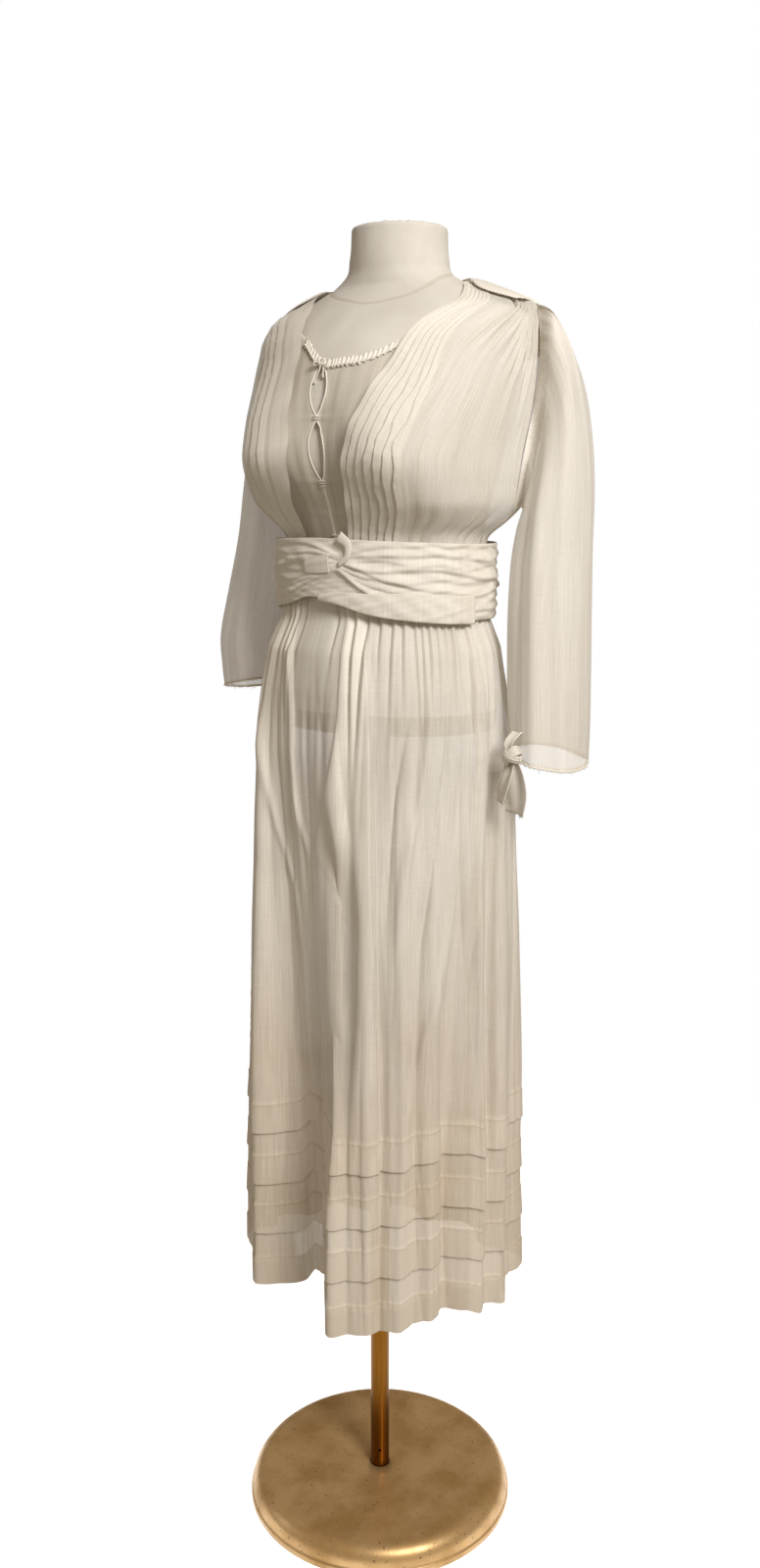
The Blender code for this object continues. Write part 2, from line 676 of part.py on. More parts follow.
def coons(top, bottom, first, last, across, down):
    """Turn and height inside four edges, blended from all of them.

    The top and bottom edges are functions of the share across, the first and
    last edges are functions of the share down, and each gives (turn, height).
    """
    u, v = np.meshgrid(across, down)
    blend = []
    for k in (0, 1):
        t, b = top(across)[k], bottom(across)[k]
        f, e = first(down)[k], last(down)[k]
        sides = (1 - v) * t[None, :] + v * b[None, :] + (1 - u) * f[:, None] + u * e[:, None]
        corners = (1 - u) * (1 - v) * t[0] + u * (1 - v) * t[-1] + (1 - u) * v * b[0] + u * v * b[-1]
        blend.append(sides - corners)
    return blend


def straight(start, end):
    """An edge that runs evenly between two bends."""

    def edge(shares):
        turn = np.radians(start.turn + (end.turn - start.turn) * shares)
        return turn, start.height + (end.height - start.height) * shares

    return edge


def side_edge(armhole):
    """The edge from the shoulder's tip round the armhole and down the side seam."""
    seam = straight(armhole[-1], Bend(armhole[-1].turn, WAIST_SEAM))

    def edge(shares):
        split = ARMHOLE_SHARE
        turn_a, height_a = along_edge(armhole, np.clip(shares / split, 0, 1))
        turn_s, height_s = seam(np.clip((shares - split) / (1 - split), 0, 1))
        below = shares > split
        return np.where(below, turn_s, turn_a), np.where(below, height_s, height_a)

    return edge


def fade(share, start, end):
    """A smooth change from 1 to 0 between two shares of the way."""
    t = np.clip((share - start) / (end - start), 0, 1)
    return 1 - t * t * (3 - 2 * t)


def front_columns(style):
    """Shares across a front, with the height of its tucks and of its gathers."""
    columns = [(0.0, 0.0, 0.0), (style.band, BAND_RIDGE, 0.0)]
    start = style.band
    for k in range(style.tucks):
        columns.append((start + style.tuck_pitch * (k + TUCK_LEAN), TUCK_RIDGE, 0.0))
        columns.append((start + style.tuck_pitch * (k + 1), 0.0, 0.0))
    start = columns[-1][0]
    for k in range(style.gathers):
        columns.append((start + (1 - start) * (k + 0.5) / style.gathers, 0.0, GATHER_RIDGE))
        columns.append((start + (1 - start) * (k + 1) / style.gathers, 0.0, 0.0))
    return np.array(columns).T


def mirrored(points, side):
    """The points as they are on the left, or mirrored to the right."""
    return points * ((1, 1, 1) if side == "left" else (-1, 1, 1))


def front_place(style, across, down):
    """Turn and height of places on a front, drawn on the left side."""
    shoulder = straight(style.edge[0], ARMHOLE_FRONT[0])
    waist = straight(style.edge[-1], Bend(ARMHOLE_FRONT[-1].turn, WAIST_SEAM))
    return coons(
        shoulder, waist, lambda shares: along_edge(style.edge, shares), side_edge(ARMHOLE_FRONT), across, down
    )


def make_front(side, parts):
    """A front: a folded edge, lengthways tucks, then gathers from shoulder and waist."""
    style = FRONTS[side]
    across, tucks, gathers = front_columns(style)
    turn, height = front_place(style, across, PANEL_ROWS)
    gathered = fade(PANEL_ROWS, *FRONT_GATHERS_END) + 1 - fade(PANEL_ROWS, *WAIST_GATHERS_START)
    raised = tucks[None, :] + gathers[None, :] * gathered[:, None]
    raised[:ARMHOLE_ROWS, -2:] = 0
    outer = moved_out(bodice_surface, turn, height, CLOTH + raised)
    inner_across = np.linspace(0, 1, INNER_COLUMNS)
    turn, height = front_place(style, inner_across, INNER_ROWS)
    inner = moved_out(bodice_surface, turn, height, np.zeros(turn.shape))
    points, faces = cloth_wall(
        Grid(mirrored(outer, side), PANEL_ROWS, across),
        Grid(mirrored(inner, side), INNER_ROWS, inner_across),
    )
    name = "bodice_front_" + side
    add_object(name, solid_from(name, points, faces), "voile", parts)


def back_top(shares):
    """The back's upper edge: up one shoulder, round the neck and down the other."""
    half = np.minimum(shares, 1 - shares) * 2
    shoulder = straight(ARMHOLE_BACK[0], NECKLINE_BACK[0])
    split = 0.5
    turn_s, height_s = shoulder(np.clip(half / split, 0, 1))
    turn_n, height_n = along_edge(NECKLINE_BACK, np.clip((half - split) / (1 - split), 0, 1))
    turn = np.where(half > split, turn_n, turn_s)
    height = np.where(half > split, height_n, height_s)
    return np.where(shares > 0.5, 2 * np.pi - turn, turn), height


def back_place(across, down):
    """Turn and height of places on the back, from the left side to the right."""
    left = side_edge(ARMHOLE_BACK)

    def right(shares):
        turn, height = left(shares)
        return 2 * np.pi - turn, height

    waist = straight(Bend(ARMHOLE_BACK[-1].turn, WAIST_SEAM), Bend(360 - ARMHOLE_BACK[-1].turn, WAIST_SEAM))
    return coons(back_top, waist, left, right, across, down)


def make_back(parts):
    """The back: plain under the yoke, gathered below it and into the waist."""
    across = np.linspace(0, 1, 2 * BACK_GATHERS + 1)
    turn, height = back_place(across, PANEL_ROWS)
    gathered = (1 - fade(PANEL_ROWS, *BACK_GATHERS_START)) * fade(PANEL_ROWS, *BACK_GATHERS_END)
    gathered = gathered + 1 - fade(PANEL_ROWS, *WAIST_GATHERS_START)
    raised = GATHER_RIDGE * (np.arange(len(across)) % 2)[None, :] * gathered[:, None]
    raised[:ARMHOLE_ROWS, [0, 1, -2, -1]] = 0
    outer = moved_out(bodice_surface, turn, height, CLOTH + raised)
    inner_across = np.linspace(0, 1, BACK_INNER_COLUMNS)
    turn, height = back_place(inner_across, INNER_ROWS)
    inner = moved_out(bodice_surface, turn, height, np.zeros(turn.shape))
    points, faces = cloth_wall(Grid(outer, PANEL_ROWS, across), Grid(inner, INNER_ROWS, inner_across))
    add_object("bodice_back", solid_from("bodice_back", points, faces), "voile", parts)


def make_yoke(parts):
    """The back yoke, lying on the bodice, its two ends lapped over the shoulders."""

    def both_sides(bends, shares):
        turn, height = along_edge(bends, np.minimum(shares, 1 - shares) * 2)
        return np.where(shares > 0.5, 2 * np.pi - turn, turn), height

    def places(across, down):
        bulge = YOKE_BULGE * np.sin(np.pi * down)
        flap = fade(np.minimum(across, 1 - across) * 2, 0.0, YOKE_FLAP)
        side = np.where(across > 0.5, 1, -1)
        upper = both_sides(YOKE_NECK, across)
        lower = both_sides(YOKE_LOWER, across)
        turn = (1 - down)[:, None] * upper[0] + down[:, None] * lower[0]
        turn = turn + bulge[:, None] * (flap * side)[None, :]
        height = (1 - down)[:, None] * upper[1] + down[:, None] * lower[1]
        return turn, height

    across = np.linspace(0, 1, YOKE_COLUMNS)
    down = np.linspace(0, 1, YOKE_ROWS)
    turn, height = places(across, down)
    forward = fade(np.abs(np.mod(turn, 2 * np.pi) - np.pi), np.radians(94), np.radians(72))
    lift = YOKE_OUT_BACK + (YOKE_OUT_FRONT - YOKE_OUT_BACK) * forward
    outer = moved_out(bodice_surface, turn, height, lift + CLOTH)
    inner = moved_out(bodice_surface, turn, height, lift)
    points, faces = cloth_wall(Grid(outer, down, across), Grid(inner, down, across))
    add_object("back_yoke", solid_from("back_yoke", points, faces), "voile", parts)


def neck_height(turn):
    """Height of the underbodice's scooped neckline at a turn."""
    return through([math.radians(b.turn) for b in VEST_NECK], [b.height for b in VEST_NECK], turn)


def placket_half(height):
    """Half the width between the two placket edges at a height."""
    half = np.full(np.shape(height), SEAM / 2)
    for top, bottom in PLACKET_GAPS:
        t = np.clip((height - bottom) / (top - bottom), 0, 1)
        half = half + PLACKET_GAP_HALF * np.sin(np.pi * t) ** 0.8
    return half


def make_vest(side, parts):
    """Half of the fine underbodice, its placket edge curved at the two gaps."""
    sign = 1 if side == "left" else -1
    edge_heights = [PLACKET_TOP]
    for top, bottom in PLACKET_GAPS:
        edge_heights += [top + (bottom - top) * share for share in PLACKET_GAP_ROWS]
    edge_heights = np.array(edge_heights + list(VEST_LOWER_ROWS) + [VEST_BOTTOM])
    down = (edge_heights[0] - edge_heights) / (edge_heights[0] - edge_heights[-1])
    start = VEST_MIDDLE + sign * placket_half(edge_heights) / PLACKET_RADIUS
    others = sign * np.append(np.arange(1, 5) * 2 * np.pi / FORM_SIDES, VEST_SIDE)
    turn = np.concatenate([start[:, None], np.broadcast_to(others, (len(start), 5))], axis=1)
    across = (turn[0] - turn[0, 0]) / (turn[0, -1] - turn[0, 0])
    top = neck_height(turn[0])
    height = top[None, :] + (VEST_BOTTOM - top)[None, :] * down[:, None]
    outer = moved_out(form_surface, turn, height, np.full(turn.shape, VEST_OUT + VEST_WALL))
    inner = moved_out(form_surface, turn, height, np.full(turn.shape, VEST_OUT))
    points, faces = cloth_wall(Grid(outer, down, across), Grid(inner, down, across))
    name = "vest_" + side
    add_object(name, solid_from(name, points, faces), "fine voile", parts)


def make_neck_trim(parts):
    """The narrow gathered edging that lies along the underbodice's neckline."""
    turns = np.radians(np.linspace(*TRIM_TURNS, TRIM_COLUMNS))
    across = (turns - turns[0]) / (turns[-1] - turns[0])
    down = np.array([0.0, 0.5, 1.0])
    top = neck_height(turns) + TRIM_ABOVE
    height = top[None, :] - TRIM_WIDTH * down[:, None]
    turn = np.broadcast_to(turns, height.shape)
    lift = VEST_OUT + VEST_WALL + SEAM + TRIM_GAP
    wave = TRIM_WAVE * (np.arange(len(turns)) % 2)[None, :] * np.array([1, 0.1, 1])[:, None]
    outer = moved_out(form_surface, turn, height, lift + TRIM_WALL + wave)
    inner = moved_out(form_surface, turn, height, np.full(turn.shape, lift))
    points, faces = cloth_wall(Grid(outer, down, across), Grid(inner, down, across))
    add_object("neck_trim", solid_from("neck_trim", points, faces), "fine voile", parts)


def armhole_ring(side):
    """Places round an armhole: down its front edge, then up its back edge."""
    front = side_edge(ARMHOLE_FRONT)(PANEL_ROWS[:ARMHOLE_ROWS])
    back = side_edge(ARMHOLE_BACK)(PANEL_ROWS[:ARMHOLE_ROWS][::-1])
    turn = np.concatenate([front[0], back[0]])
    height = np.concatenate([front[1], back[1]])
    return turn, height


def sleeve_rings(side):
    """The outer and inner points of a sleeve, ring by ring, drawn on the left side."""
    table = SLEEVE_LEFT if side == "left" else SLEEVE_RIGHT
    turn, height = armhole_ring(side)
    edge = bodice_surface(turn, height)
    out = normals(bodice_surface, turn, height)
    lift = CLOTH + SEAM + SLEEVE_LAP
    first_inner = edge + out * lift
    ahead = np.roll(edge, -1, axis=0) - np.roll(edge, 1, axis=0)
    away = np.cross(out, ahead)
    away = away / np.linalg.norm(away, axis=1, keepdims=True)
    middle = edge.mean(axis=0)
    away = away * np.sign(((edge - middle) * away).sum(axis=1))[:, None]
    first_outer = first_inner + away * CLOTH
    # Round the armhole: 0 at the tip, forwards and down, half way at the underarm
    count = len(turn)
    around = np.arange(count) / count * 2 * np.pi + np.pi / count
    rings_out = [first_outer]
    rings_in = [first_inner]
    oval = edge - middle
    first_up = (oval[0] - oval[ARMHOLE_ROWS - 1]) / 2
    first_side = np.array([0, ARMHOLE_HALF_DEPTH, 0])
    regular = np.cos(around)[:, None] * first_up - np.sin(around)[:, None] * first_side
    odd = oval - regular
    for k, ring in enumerate(table):
        outer_edge = np.array([ring.outer_x, ring.y, ring.outer_z])
        inner_edge = np.array([ring.inner_x, ring.y, ring.inner_z])
        span = (outer_edge - inner_edge) / 2
        centre = (outer_edge + inner_edge) / 2
        depth = np.array([0, ring.half_depth, 0])
        left_over = odd * fade(np.array((k + 1) / SLEEVE_SETTLES), 0, 1)
        mid = centre + np.cos(around)[:, None] * span - np.sin(around)[:, None] * depth + left_over
        radial = mid - centre
        radial = radial / np.linalg.norm(radial, axis=1, keepdims=True)
        rings_out.append(mid + radial * CLOTH / 2)
        rings_in.append(mid - radial * CLOTH / 2)
    return np.array(rings_out), np.array(rings_in)


def make_sleeve(side, parts):
    """A wide sleeve from the armhole seam to the open cuff."""
    outer, inner = sleeve_rings(side)
    rows = np.linspace(0, 1, len(outer))
    columns = np.arange(outer.shape[1]) / outer.shape[1]
    points, faces = cloth_wall(
        Grid(mirrored(outer, side), rows, columns), Grid(mirrored(inner, side), rows, columns), around=True
    )
    name = "sleeve_" + side
    add_object(name, solid_from(name, points, faces), "voile", parts)


def round_value(bends, turn):
    """Height of a level edge drawn all round, at a turn from -180 to 180 degrees."""
    wrapped = np.degrees(np.mod(turn + np.pi, 2 * np.pi) - np.pi)
    return through([bend.turn for bend in bends], [bend.height for bend in bends], wrapped)


def sash_surface(turn, height):
    """The upright surface that the sash's inside follows."""
    turn, height = np.broadcast_arrays(np.asarray(turn, float), np.asarray(height, float))
    x, y = egg(*SASH_INSIDE[1:], turn)
    return np.stack([x, y, height], -1)


def make_sash(parts):
    """The sash: one folded band round the waist, its folds drawn in at the front."""
    columns = np.arange(SASH_COLUMNS) / SASH_COLUMNS
    turn = columns * 2 * np.pi - np.pi
    shares, ridges = np.array(SASH_FOLDS).T
    top = round_value(SASH_TOP, turn)
    bottom = round_value(SASH_BOTTOM, turn)
    height = top[None, :] + (bottom - top)[None, :] * shares[:, None]
    turns = np.broadcast_to(turn, height.shape)
    stands_out = np.broadcast_to((SASH_WALL + ridges)[:, None], height.shape)
    outer = moved_out(sash_surface, turns, height, stands_out)
    ends = height[[0, -1]]
    inner = moved_out(sash_surface, turns[:2], ends, np.zeros(ends.shape))
    points, faces = cloth_wall(
        Grid(outer, shares, columns), Grid(inner, np.array([0.0, 1.0]), columns), around=True
    )
    add_object("sash", solid_from("sash", points, faces), "voile", parts)


def make_sash_wrap(parts):
    """The sash's smooth end, lapped from the middle front over the left half's lower fold."""
    turn = np.radians(np.linspace(*WRAP_TURNS, WRAP_COLUMNS))
    across = np.linspace(0, 1, WRAP_COLUMNS)
    down = np.array(WRAP_ROWS)
    bottom = round_value(SASH_BOTTOM, turn) - WRAP_BELOW
    depth = WRAP_END_DEPTH + WRAP_DEPTH * np.sin(np.pi / 2 * np.clip(across / 0.7, 0, 1))
    height = bottom[None, :] + depth[None, :] * (1 - down)[:, None]
    turns = np.broadcast_to(turn, height.shape)
    belly = np.array(WRAP_BELLY)[:, None] * np.ones(height.shape)
    outer = moved_out(sash_surface, turns, height, SASH_FACE + CLOTH + belly)
    inner = moved_out(sash_surface, turns, height, np.full(height.shape, SASH_FACE))
    points, faces = cloth_wall(Grid(outer, down, across), Grid(inner, down, across))
    add_object("sash_wrap", solid_from("sash_wrap", points, faces), "voile", parts)


def make_sash_tab(parts):
    """The folded tab at the middle front that the sash's folds are drawn into."""
    turn = np.radians(np.linspace(*TAB_TURNS, TAB_COLUMNS))
    across = np.linspace(0, 1, TAB_COLUMNS)
    down = np.array(TAB_ROWS)
    top = np.linspace(*TAB_TOP, TAB_COLUMNS)
    bottom = np.linspace(*TAB_BOTTOM, TAB_COLUMNS)
    height = top[None, :] + (bottom - top)[None, :] * down[:, None]
    turns = np.broadcast_to(turn, height.shape)
    belly = np.array(TAB_BELLY)[:, None] * np.ones(height.shape)
    outer = moved_out(sash_surface, turns, height, SASH_FACE + TAB_WALL + belly)
    inner = moved_out(sash_surface, turns, height, np.full(height.shape, SASH_FACE))
    points, faces = cloth_wall(Grid(outer, down, across), Grid(inner, down, across))
    add_object("sash_tab", solid_from("sash_tab", points, faces), "voile", parts)


def fold_values(turn):
    """How far the hem's folds stand out, and the hem's rise, at a turn."""
    last = HEM_FOLDS[-1]
    first = HEM_FOLDS[0]
    ring = (last._replace(turn=last.turn - 360),) + HEM_FOLDS + (first._replace(turn=first.turn + 360),)
    places = [fold.turn for fold in ring]
    wrapped = np.degrees(np.mod(turn - math.radians(first.turn), 2 * np.pi)) + first.turn
    out = through(places, [fold.out for fold in ring], wrapped)
    return out, through(places, [fold.rise for fold in ring], wrapped)


def skirt_surface(turn, height):
    """The skirt's cloth without its gathers: straight between its section heights."""
    turn, height = np.broadcast_arrays(np.asarray(turn, float), np.asarray(height, float))
    table = np.array(SKIRT_SECTIONS)[::-1]
    levels = np.array(SKIRT_LEVELS)[::-1]
    cuts = [np.interp(height, table[:, 0], table[:, k]) for k in range(1, 5)]
    x, y = egg(*cuts, turn)
    out, rise = fold_values(turn)
    share = np.interp(height, levels[:, 0], levels[:, 2])
    away = np.stack([x, y - cuts[1]], -1)
    length = np.linalg.norm(away, axis=-1)
    spread = 1 + out * share / length
    lifted = height + rise * np.interp(height, *zip(*RISE_LEVELS))
    return np.stack([x * spread, cuts[1] + (y - cuts[1]) * spread, lifted], -1)


def skirt_rows():
    """Heights down the skirt's outside, with how far its tucks stand out at each."""
    rows = [(level.height, 0.0) for level in SKIRT_LEVELS[:-1]]
    rows[0] = (WAIST_SEAM - SEAM, 0.0)
    for stitched, fold in SKIRT_TUCKS:
        rows += [(HEM + stitched, 0.0), (HEM + stitched - TUCK_TOP_STEP, TUCK_TOP_OUT)]
        rows += [(HEM + fold, TUCK_OUT), (HEM + fold - TUCK_STEP, 0.0)]
    rows += [(HEM + HEM_BAND_TOP, 0.0), (HEM + HEM_BAND_TOP - TUCK_TOP_STEP, HEM_BAND_OUT)]
    rows.append((HEM, HEM_BAND_OUT))
    return np.array(rows).T


def make_skirt(name, start, end, count, parts):
    """One skirt panel between two side seams, gathered above and tucked below."""
    gap = math.degrees(SEAM / MEAN_RADIUS / 2)
    degrees = np.linspace(start + gap, end - gap, count + 1)
    turn = np.radians(degrees)
    across = np.linspace(0, 1, count + 1)
    heights, tucks = skirt_rows()
    levels = np.array(SKIRT_LEVELS)[::-1]
    gathered = np.interp(heights, levels[:, 0], levels[:, 1])
    ridge = GATHER_OUT * (np.arange(count + 1) % 2)
    lift = CLOTH / 2 + tucks[:, None] + ridge[None, :] * gathered[:, None]
    turns, levels_at = np.meshgrid(turn, heights)
    outer = moved_out(skirt_surface, turns, levels_at, lift)
    inner_heights = np.array([WAIST_SEAM - SEAM] + [level.height for level in SKIRT_LEVELS[1:-1]] + [HEM])
    turns, levels_at = np.meshgrid(turn, inner_heights)
    inner = moved_out(skirt_surface, turns, levels_at, np.full(turns.shape, -CLOTH / 2))
    span = heights[0] - heights[-1]
    points, faces = cloth_wall(
        Grid(outer, (heights[0] - heights) / span, across),
        Grid(inner, (heights[0] - inner_heights) / span, across),
    )
    add_object(name, solid_from(name, points, faces), "voile", parts)


def ribbon(start, end, width, lean):
    """A thin strip that hangs from one point to another, as points and faces."""
    start = np.array(start)
    end = np.array(end)
    rows = []
    for share, wide in RIBBON_WIDTHS:
        middle = start + (end - start) * share - np.array([0, 0, RIBBON_SAG]) * math.sin(math.pi * share)
        side = np.array([math.cos(lean), math.sin(lean), 0]) * width / 2 * wide
        front = np.array([-math.sin(lean), math.cos(lean), 0]) * RIBBON_HALF_WALL
        rows.append([middle + a * side + b * front for a, b in ((-1, -1), (1, -1), (1, 1), (-1, 1))])
    return ringed_solid(rows)


def make_tie(name, knot, radii, lean, ends, finish, parts, helpers):
    """A knot with its hanging ends, joined into one closed piece."""
    shape = bmesh.new()
    bmesh.ops.create_uvsphere(shape, u_segments=12, v_segments=8, radius=1.0)
    mesh = bpy.data.meshes.new(name)
    shape.to_mesh(mesh)
    shape.free()
    turned = np.array([[math.cos(lean), -math.sin(lean)], [math.sin(lean), math.cos(lean)]])
    for vertex in mesh.vertices:
        x, y = turned @ np.array([vertex.co.x * radii[0], vertex.co.y * radii[1]])
        vertex.co = (x + knot[0], y + knot[1], vertex.co.z * radii[2] + knot[2])
    tie = add_object(name, mesh, finish, parts)
    for k, end in enumerate(ends):
        tip = (knot[0] + end.lean_x, knot[1] + end.lean_y, knot[2] - end.length)
        start = (knot[0] + end.lean_x * 0.1, knot[1] + end.lean_y * 0.1, knot[2] - radii[2] * 0.3)
        points, faces = ribbon(start, tip, end.width, lean)
        strip = bpy.data.objects.new(f"{name}_end_{k}", solid_from(f"{name}_end_{k}", points, faces))
        strip.hide_render = True
        strip.display_type = "WIRE"
        helpers.objects.link(strip)
        join = tie.modifiers.new(f"end {k}", "BOOLEAN")
        join.operation = "UNION"
        join.object = strip


def make_ties(parts, helpers):
    """The bow at the neck and the knotted tie at each cuff."""
    lift = VEST_OUT + VEST_WALL + TRIM_GAP + TRIM_WALL + TRIM_WAVE + SEAM + NECK_KNOT_RADII[1]
    middle = np.array(VEST_MIDDLE)
    knot = moved_out(form_surface, middle, np.array(NECK_KNOT_HEIGHT), np.array(lift))
    make_tie("neck_tie", tuple(knot), NECK_KNOT_RADII, 0.0, NECK_ENDS, "fine voile", parts, helpers)
    for side, (place, ends) in CUFF_TIES.items():
        outer, _ = sleeve_rings(side)
        column = int(round(place * outer.shape[1]))
        edge = mirrored(outer[-1][column], side)
        middle = mirrored(outer[-1].mean(axis=0), side)
        away = (edge - middle) * (1, 1, 0)
        away = away / np.linalg.norm(away)
        knot = edge + away * (CUFF_KNOT_RADII[1] + SEAM) + (0, 0, CUFF_KNOT_LIFT)
        lean = math.atan2(away[1], away[0]) - math.pi / 2
        make_tie("cuff_tie_" + side, tuple(knot), CUFF_KNOT_RADII, lean, ends, "voile", parts, helpers)


def main():
    """Clear the scene and build the dress, its form and the stand."""
    for item in list(bpy.data.objects):
        bpy.data.objects.remove(item, do_unlink=True)
    parts = bpy.data.collections.new("tea_dress_on_form")
    helpers = bpy.data.collections.new("cutters")
    bpy.context.scene.collection.children.link(parts)
    bpy.context.scene.collection.children.link(helpers)

    make_base(parts)
    make_pole(parts, helpers)
    make_torso(parts)
    for side in ("left", "right"):
        make_vest(side, parts)
        make_front(side, parts)
        make_sleeve(side, parts)
    make_neck_trim(parts)
    make_back(parts)
    make_yoke(parts)
    make_sash(parts)
    make_sash_wrap(parts)
    make_sash_tab(parts)
    make_skirt("skirt_front", -SIDE_SEAM, SIDE_SEAM, SKIRT_FRONT_COLUMNS, parts)
    make_skirt("skirt_back", SIDE_SEAM, 360 - SIDE_SEAM, SKIRT_BACK_COLUMNS, parts)
    make_ties(parts, helpers)


main()
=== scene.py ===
"""The looks of a cotton voile tea dress on a limbless dress form, around its CAD frame.

Every cloth piece is a surface of two parameters, worked out as whole arrays. The fronts,
back, sleeves and skirt are single sheets, and the smaller pieces are given a thin wall.
Metres, +Z up, the front of the dress towards -Y, its wearer's left at +X.
"""

import logging
import math
from collections.abc import Callable, Sequence
from dataclasses import dataclass
from enum import Enum
from typing import NamedTuple

import bpy
import numpy as np
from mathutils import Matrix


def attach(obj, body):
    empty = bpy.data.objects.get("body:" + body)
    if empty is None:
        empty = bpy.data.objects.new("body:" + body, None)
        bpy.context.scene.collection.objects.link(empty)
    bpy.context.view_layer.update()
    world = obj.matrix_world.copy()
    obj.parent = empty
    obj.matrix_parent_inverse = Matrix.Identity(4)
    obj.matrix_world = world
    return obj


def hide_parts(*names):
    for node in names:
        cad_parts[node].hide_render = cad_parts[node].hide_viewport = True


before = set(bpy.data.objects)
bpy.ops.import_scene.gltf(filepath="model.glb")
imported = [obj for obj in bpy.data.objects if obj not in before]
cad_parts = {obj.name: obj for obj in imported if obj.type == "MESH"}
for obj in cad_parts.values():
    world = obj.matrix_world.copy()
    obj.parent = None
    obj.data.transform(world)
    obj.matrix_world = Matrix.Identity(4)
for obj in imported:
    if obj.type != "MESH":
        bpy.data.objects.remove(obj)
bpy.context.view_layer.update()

log = logging.getLogger("tea_dress")
Array = np.ndarray
Surface = Callable[[Array, Array], Array]

SEAM = 0.0003  # gap kept between two pieces that touch
CLOTH = 0.0012  # how far the CAD's wall lifts one layer of voile
WALL = 0.0006  # wall of one layer of cloth, in the smaller pieces
UV_NAME = "cloth"  # a piece's UV map, in metres of cloth
NORMAL_STEP = 0.0008
TURN_STEP = 0.004
MEAN_RADIUS = 0.13
SHARP_ANGLE = math.radians(50)
WHITE = (1.0, 1.0, 1.0, 1.0)

WAIST_SEAM = 1.2570
UNDERARM = 1.335
SHOULDER_TIP = 1.558
NECK_END = 1.592
HEM = 0.330


class Side(Enum):
    """The wearer's left or right, and its sign along X."""

    LEFT = 1
    RIGHT = -1

    @property
    def word(self) -> str:
        """The side's name as it ends a piece's name."""
        return self.name.lower()


class Profile(Enum):
    """How a crease is rounded across: a soft swell or a pressed pleat."""

    SOFT = "soft"
    PLEAT = "pleat"


class Section(NamedTuple):
    """A level cut through the form or the dress: an egg of four half widths."""

    height: float
    half_width: float
    side_y: float
    front_y: float
    back_y: float


class Bend(NamedTuple):
    """A point of an edge drawn on a round surface: turn in degrees, and height."""

    turn: float
    height: float


class Swell(NamedTuple):
    """A soft rise on both halves of the front: its place, height and spreads."""

    turn: float
    height: float
    out: float
    turn_spread: float
    spread_above: float
    spread_below: float


class Crease(NamedTuple):
    """A fold's line of bends from its top down, how far it stands out, and its width."""

    path: tuple[tuple[float, float], ...]
    out: float
    width: float
    profile: Profile = Profile.SOFT
    cover: float = 0.0
    swell_in: float = 0.3
    fade_out: float = 0.35
    lean: float = 0.0


class Lap(NamedTuple):
    """A folded pleat that lies over the skirt, between two edges of turns and heights."""

    left: tuple[tuple[float, float], ...]
    right: tuple[tuple[float, float], ...]
    cover: float = 1.0
    out: float = 0.0014


# ---- curves and surfaces


def through(places: Sequence[float], values: Sequence[float], at: Array) -> Array:
    """A smooth curve through values, level wherever they turn back.

    Formula: cubic Hermite spans, whose slope at a point is the mean slope of its two
    spans, and nothing where they have opposite signs.

    Args:
        places: rising places of the known values.
        values: the value at each place.
        at: where the curve is wanted.

    Returns:
        The curve's values there.
    """
    x = np.asarray(places, float)
    y = np.asarray(values, float)
    slopes = np.diff(y) / np.diff(x)
    lean = np.gradient(y, x)
    lean[1:-1] = np.where(slopes[:-1] * slopes[1:] <= 0, 0, lean[1:-1])
    i = np.clip(np.searchsorted(x, at) - 1, 0, len(x) - 2)
    span = x[i + 1] - x[i]
    t = np.clip((at - x[i]) / span, 0, 1)
    start = (2 * t**3 - 3 * t**2 + 1) * y[i] + (t**3 - 2 * t**2 + t) * span * lean[i]
    end = (-2 * t**3 + 3 * t**2) * y[i + 1] + (t**3 - t**2) * span * lean[i + 1]
    return start + end


def resample(values: Array, at: Array, around: bool) -> Array:
    """Values along the first axis at new places, by Catmull-Rom spans.

    Args:
        values: points or numbers, evenly placed along the first axis.
        at: places, in steps of the first axis.
        around: whether the last value is followed by the first.

    Returns:
        The values at those places.
    """
    count = len(values)
    i = np.floor(at).astype(int)
    if not around:
        i = np.clip(i, 0, count - 2)
    t = at - i
    near = [i + k for k in (-1, 0, 1, 2)]
    near = [n % count if around else np.clip(n, 0, count - 1) for n in near]
    a, b, c, d = (values[n] for n in near)
    t = t.reshape((-1,) + (1,) * (values.ndim - 1))
    return b + t / 2 * (c - a + t * (2 * a - 5 * b + 4 * c - d + t * (3 * (b - c) + d - a)))


def rise(share: Array, start: float, end: float) -> Array:
    """A smooth change from 0 to 1 between two shares of the way."""
    t = np.clip((np.asarray(share, float) - start) / (end - start), 0, 1)
    return t * t * (3 - 2 * t)


def fade(share: Array, start: float, end: float) -> Array:
    """A smooth change from 1 to 0 between two shares of the way."""
    return 1 - rise(share, start, end)


def bell(distance: Array, width: float) -> Array:
    """A bell curve: 1 at no distance, and 1/e of that at the width."""
    return np.exp(-((distance / width) ** 2))


